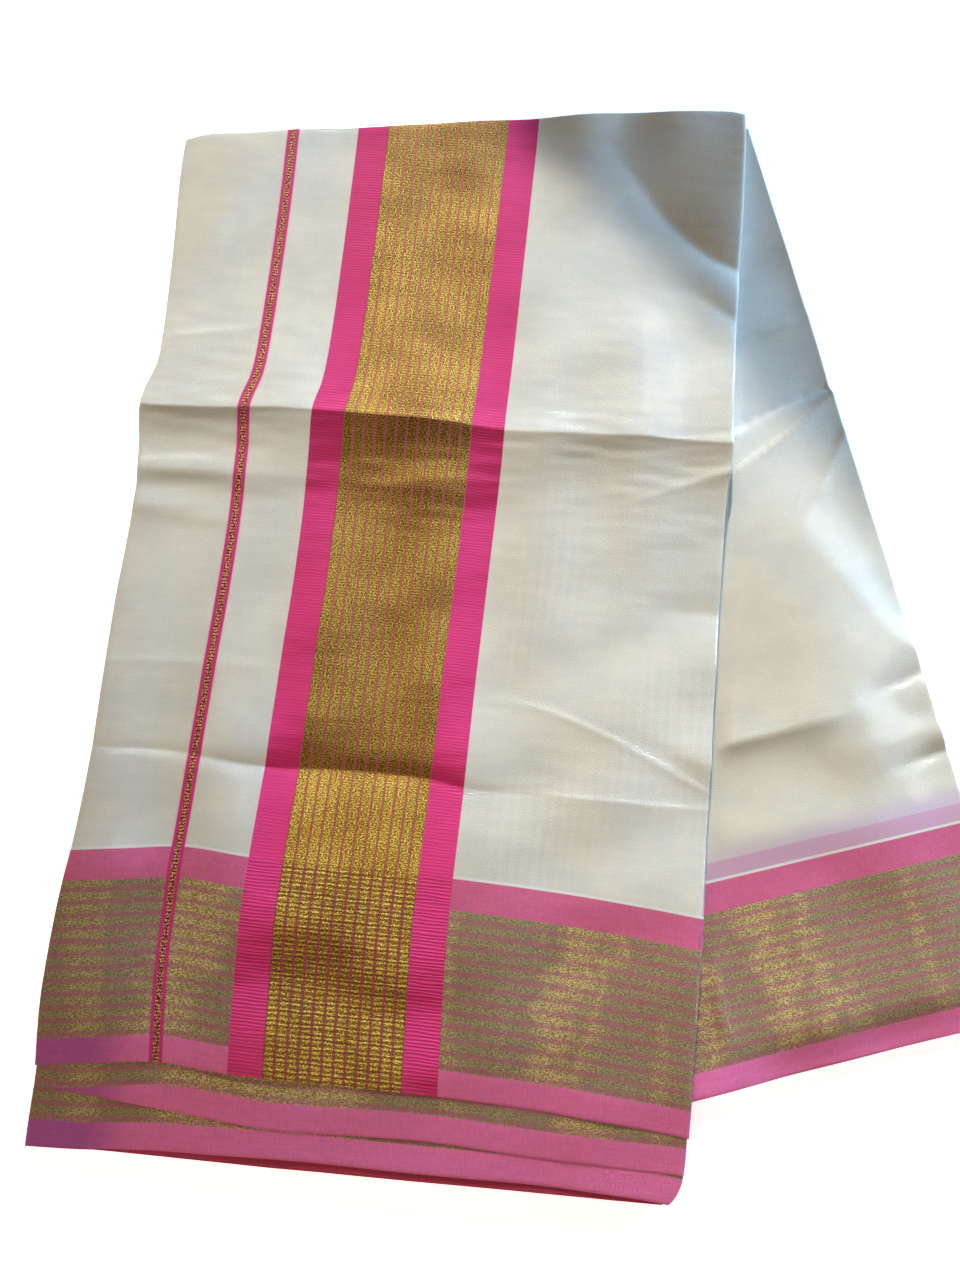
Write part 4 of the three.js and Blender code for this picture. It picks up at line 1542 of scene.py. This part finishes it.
@dataclass
class SwungPanel:
    """The panel that has swung out: its own frame starts at its hem corner, with +X along its hem."""

    plan: StackPlan
    swing: float = math.radians(18.0)
    corner_x: float = 99.6
    corner_y: float = 335.0
    drop: float = 90.0
    tuck: float = 40.0
    side_level: float = 5.4
    hem_level: float = 6.2
    level: float = 9.4
    fall: float = 85.0
    droop: float = 3.2
    droop_reach: float = 26.0
    stretch: float = 0.95
    hem_lift: float = 0.3
    ply_room: float = 1.5
    ply_least: float = 1.4
    ply_half: float = 0.35
    ply_in: float = 2.6
    plies: int = 2
    least: float = 0.45
    columns: int = 84
    row_step: float = 2.6
    finish: WovenCotton = WovenCotton(
        "swung_weave",
        seen_through=1.0,
        painted_low_shade=(0.96, 0.94, 0.9),
        glints=((-182.0, 7.0), (-135.0, 9.0), (-112.0, 6.0)),
    )
    under_finish: WovenCotton = WovenCotton("swung_under_weave")

    def __post_init__(self) -> None:
        """Find the hem corner and take the creases."""
        self.hem_x = self.corner_x + DOUBLED_WIDTH * math.sin(self.swing)
        self.hem_y = self.corner_y - DOUBLED_WIDTH * math.cos(self.swing)
        self.creases = creases_of(SWUNG_RIDGES, SWUNG_SWELLS)
        self.swells = Ripple(seed=31, waves=9, height=0.36, shortest=50, longest=120)

    def world(self, a: Array, b: Array) -> tuple[Array, Array]:
        """The panel's own coordinates turned by the swing and moved to its hem corner."""
        cos, sin = math.cos(self.swing), math.sin(self.swing)
        return self.hem_x + a * cos - b * sin, self.hem_y + a * sin + b * cos

    def outline(self, left: float, side_in: float, hem_in: float, top_in: float) -> Outline:
        """The panel's outline in its own frame. Its left side is the line x = left of the stack's frame."""
        cos, sin = math.cos(self.swing), math.sin(self.swing)
        return Outline(
            left=lambda b: (left - self.hem_x + b * sin) / cos,
            right=lambda b: np.full_like(b, -side_in),
            bottom=lambda a: np.full_like(a, hem_in),
            top=lambda a: np.full_like(a, DOUBLED_WIDTH - top_in),
            hem_level=hem_in,
            fold_level=DOUBLED_WIDTH - top_in,
            fold_start=500.0,
        )

    def lift(self, x: Array, y: Array, a: Array) -> Array:
        """The height of the panel's face.

        Args:
            x: The places in the stack's frame, across.
            y: The same, along.
            a: The same places in the panel's own frame, whose right side is at 0.

        Returns:
            The height: it leaves the stack high, stays at the level height, and falls near its right side.
        """
        start = 1.0 - smooth(x, self.plan.SIDE_RIGHT, self.plan.SIDE_RIGHT + self.drop)
        side = smooth(-a, 0.0, self.fall)
        level = self.hem_level + (self.level - self.hem_level) * smooth(y, -200.0, -20.0)
        return self.side_level + (level - self.side_level) * side + (LAYERS_TOP - level) * start

    def surface(self) -> Surface:
        """The sheet: its lift, the creases outside the stack, and a hem that droops to the surface."""
        outline = self.outline(self.plan.SIDE_RIGHT - self.tuck, 0.0, 0.0, 0.0)
        edges = (Edge.cut(), Edge.turned(radius=1.2, past=50.0), Edge.cut(), Edge.cut())
        levels = graded(5.0, DOUBLED_WIDTH - 6.0, self.row_step, ())
        grid = lay_grid(outline, edges, even_shares(self.columns), levels)
        x, y = self.world(grid.x, grid.y)
        out = smooth(x, self.plan.SIDE_RIGHT, self.plan.SIDE_RIGHT + 60.0)
        folds = sum(crease.height(x, y) for crease in self.creases) + self.swells.height_at(x, y) * out
        shown = smooth(x, self.plan.SIDE_RIGHT - 2.0, self.plan.SIDE_RIGHT + 10.0)
        hem = (1.0 - smooth(grid.y, 0.0, self.droop_reach)) * out * self.droop
        height = np.maximum(self.lift(x, y, grid.x) + folds * shown - hem, CLOTH_WALL + self.hem_lift)
        height = np.maximum(height - grid.down, self.least)
        weave = np.dstack([grid.x, grid.y / self.stretch])
        return shell(np.dstack([x, y, height]), SWUNG_WALL, weave)

    def under_ply(self, index: int) -> Surface:
        """A ply under the panel, which follows its lift by a share of its height.

        Args:
            index: The ply's number, from the lowest.

        Returns:
            The closed ply.
        """
        side_in = self.ply_in + 0.5 * index
        outline = self.outline(self.plan.SIDE_RIGHT + 6.0, side_in, self.droop_reach - 6.0 + index, 9.0)
        edges = (Edge.rounded(self.ply_half),) * 4
        grid = lay_grid(outline, edges, even_shares(24), graded(26, 568, 7.0, ()))
        x, y = self.world(grid.x, grid.y)
        folds = sum(crease.height(x, y) for crease in self.creases)
        room = np.maximum(self.lift(x, y, grid.x) + np.minimum(folds, 0.0) - self.ply_room, self.ply_least)
        middle = room * (index + 0.5) / self.plies
        half = np.clip(self.ply_half - grid.down, 0.0, self.ply_half)
        weave = np.dstack([grid.x, grid.y / self.stretch])
        return pillow(np.dstack([x, y]), middle, half, weave)

    def build(self) -> list[bpy.types.Object]:
        """Make and dress the panel and the plies under it.

        Returns:
            The two pieces.
        """
        cloth = self.surface().to_object("swung_cloth")
        dress(cloth, self.finish, "swung_stretch")
        plies = self.under_ply(0).joined(self.under_ply(1))
        under = plies.to_object("swung_under", crisp=80.0)
        dress(under, self.under_finish, "swung_layers")
        return [cloth, under]


@dataclass(frozen=True)
class SoftLight:
    """A large soft lamp that faces a point of the cloth."""

    name: str
    place: Place
    aim: Place
    width: float
    watts: float
    colour: Colour

    def build(self) -> bpy.types.Object:
        """Make the lamp."""
        lamp = bpy.data.lights.new(self.name, "AREA")
        lamp.shape = "DISK"
        lamp.size = self.width
        lamp.energy = self.watts
        lamp.color = self.colour
        made = bpy.data.objects.new(self.name, lamp)
        way = Vector(self.aim) - Vector(self.place)
        turn = way.to_track_quat("-Z", "Y").to_matrix().to_4x4()
        made.matrix_world = Matrix.Translation(self.place) @ turn
        bpy.context.scene.collection.objects.link(made)
        return made


@dataclass(frozen=True)
class KeyLight:
    """The main lamp: a low soft box with a grid, whose narrow beam ends along a line over the upper right.

    It is a row of strips side by side, each facing along the beam, with their long sides along the line's
    projection. They start at the line, and they are dimmer one after another towards the lower left.
    """

    elevation: float = math.radians(18.0)
    heading: float = math.radians(-5.0)
    line_point: tuple[float, float] = (0.0268, 0.2005)
    line_turn: float = math.radians(-41.5)
    length: float = 1.5
    strips: int = 12
    reach: float = 0.29
    full: float = 0.08
    least: float = 0.06
    distance: float = 1.15
    spread: float = math.radians(1.3)
    strength: float = 5.3
    colour: Colour = (1.0, 0.975, 0.94)

    def build(self) -> None:
        """Make the strips."""
        level = math.cos(self.elevation)
        flat = (-math.sin(self.heading) * level, -math.cos(self.heading) * level)
        beam = Vector((*flat, -math.sin(self.elevation)))
        line = Vector((math.cos(self.line_turn), math.sin(self.line_turn), 0.0))
        along = (line - line.dot(beam) * beam).normalized()
        across = beam.cross(along)
        start = Vector((*self.line_point, 0.0))
        start -= along * start.dot(along)
        turn = Matrix((along, -across, -beam)).transposed().to_4x4()
        width = self.reach / self.strips
        places = width * (np.arange(self.strips) + 0.5)
        shares = 1.0 - (1.0 - self.least) * smooth(places, self.full, self.reach)
        for number, (place, share) in enumerate(zip(places.tolist(), shares.tolist())):
            name = f"key_light_{number + 1}"
            lamp = bpy.data.lights.new(name, "AREA")
            lamp.shape = "RECTANGLE"
            lamp.size = self.length
            lamp.size_y = width
            lamp.spread = self.spread
            lamp.energy = self.strength * self.length * width * share
            lamp.color = self.colour
            made = bpy.data.objects.new(name, lamp)
            centre = start + across * place - beam * self.distance
            made.matrix_world = Matrix.Translation(centre) @ turn
            made.visible_camera = False
            bpy.context.scene.collection.objects.link(made)


@dataclass(frozen=True)
class Studio:
    """The pale floor, the soft lamps and the camera."""

    camera_place: Place = (-0.0412, -0.1368, 0.5795)
    camera_aim: Place = (-0.0504, -0.033, 0.012)
    picture_turn: float = math.radians(5.07)
    lens: float = 27.03
    floor_size: float = 6.0
    floor_shade: float = 0.93
    floor_glow: float = 0.76
    room_colour: Colour = (1.0, 0.91, 0.78)
    room_light: float = 0.14
    lamps: tuple[SoftLight, ...] = (
        SoftLight("sky_light", (1.6, 1.08, 0.14), (0.05, 0.0, 0.0), 0.32, 120.0, (0.34, 0.61, 1.0)),
        SoftLight("warm_light", (-0.75, -1.4, 0.78), (-0.05, 0.0, 0.0), 1.2, 9.5, (1.0, 0.81, 0.6)),
    )

    def build(self) -> None:
        """Make the floor, the world, the lamps and the camera."""
        self.floor()
        self.world()
        for lamp in (KeyLight(), *self.lamps):
            lamp.build()
        self.camera()

    def floor(self) -> None:
        """A wide flat floor of pale matt board."""
        half = self.floor_size / 2.0
        mesh = bpy.data.meshes.new("floor")
        corners = [(-half, -half, 0), (half, -half, 0), (half, half, 0), (-half, half, 0)]
        mesh.from_pydata(corners, [], [(0, 1, 2, 3)])
        made = bpy.data.objects.new("floor", mesh)
        bpy.context.scene.collection.objects.link(made)
        board = bpy.data.materials.new("floor_board")
        board.use_nodes = True
        tree = board.node_tree
        shader = tree.nodes["Principled BSDF"]
        shader.inputs["Roughness"].default_value = 0.95
        shader.inputs["Specular IOR Level"].default_value = 0.1
        shader.inputs["Base Color"].default_value = (*(self.floor_shade,) * 3, 1.0)
        shader.inputs["Emission Color"].default_value = (1.0, 1.0, 1.0, 1.0)
        shader.inputs["Emission Strength"].default_value = self.floor_glow
        mesh.materials.append(board)

    def world(self) -> None:
        """An even, weak light from all sides."""
        world = bpy.data.worlds.new("room")
        world.use_nodes = True
        back = world.node_tree.nodes["Background"]
        back.inputs[0].default_value = (*self.room_colour, 1.0)
        back.inputs[1].default_value = self.room_light
        bpy.context.scene.world = world

    def camera(self) -> None:
        """A camera that looks down on the stack at the picture's angle, with no shift."""
        data = bpy.data.cameras.new("camera")
        data.lens = self.lens
        data.sensor_width = 36.0
        data.sensor_fit = "AUTO"
        data.clip_start = 0.01
        made = bpy.data.objects.new("camera", data)
        place, aim = Vector(self.camera_place), Vector(self.camera_aim)
        forward = (aim - place).normalized()
        upward = Vector((-math.sin(self.picture_turn), math.cos(self.picture_turn), 0.0))
        side = forward.cross(upward).normalized()
        up = side.cross(forward)
        turn = Matrix((side, up, -forward)).transposed().to_4x4()
        made.matrix_world = Matrix.Translation(place) @ turn
        bpy.context.scene.collection.objects.link(made)
        bpy.context.scene.camera = made
        bpy.context.scene.view_settings.view_transform = "Standard"


def main() -> None:
    """Build the studio, then each piece of the saree from the top of the stack down."""
    logging.basicConfig(level=logging.INFO, format="%(name)s: %(message)s")
    Studio().build()
    plan = StackPlan()
    border_weave = WovenCotton("border_weave", glints=((-150.0, 60.0), (30.0, 12.0)))
    report(FrontStretch(plan).build())
    second = LowerStretch(
        plan,
        ply="second",
        name="second_cloth",
        node="second_stretch",
        top=SECOND_TOP,
        level=-315.0,
        turned=False,
        left_in=2.4,
        taper=SELVEDGE_PINK,
        share=0.72,
        finish=border_weave,
        flat=(0.362, 0.634),
        rests_on="third_cloth",
    )
    third = LowerStretch(
        plan,
        ply="third",
        name="third_cloth",
        node="third_stretch",
        top=THIRD_TOP,
        level=-335.0,
        turned=True,
        left_in=0.4,
        taper=0.0,
        share=0.62,
        finish=border_weave,
        flat=(0.366, 0.655),
        rests_on="inner_folds",
    )
    report(second.build())
    report(third.build())
    # Painted shade: the hidden plies have a darker selvedge pink, less glitter and a slightly dimmer tone,
    # for the shade between the plies.
    painted_shade_dyes = Dyes(selvedge_pink=(0.5, 0.045, 0.1))
    under_weave = WovenCotton("under_weave", shimmer=0.5, tone=0.97, dyes=painted_shade_dyes)
    inner = PressedPlies(
        plan,
        name="inner_folds",
        node="folded_layers",
        base=LOWEST_TOP + 0.3,
        top=LAYERS_TOP,
        count=7,
        insets=(1.3, 3.4),
        flat=(0.66, 2.53),
        rests_on=("lowest_cloth",),
        finish=under_weave,
    )
    lowest = PressedPlies(
        plan,
        name="lowest_cloth",
        node="lowest_stretch",
        base=0.04,
        top=LOWEST_TOP,
        count=1,
        insets=(0.5, 0.7),
        flat=(0.366, 0.66),
        rests_on=("floor",),
        finish=under_weave,
    )
    report(inner.build())
    report(lowest.build())
    for piece in SwungPanel(plan).build():
        report(piece)


if __name__ == "__main__":
    main()
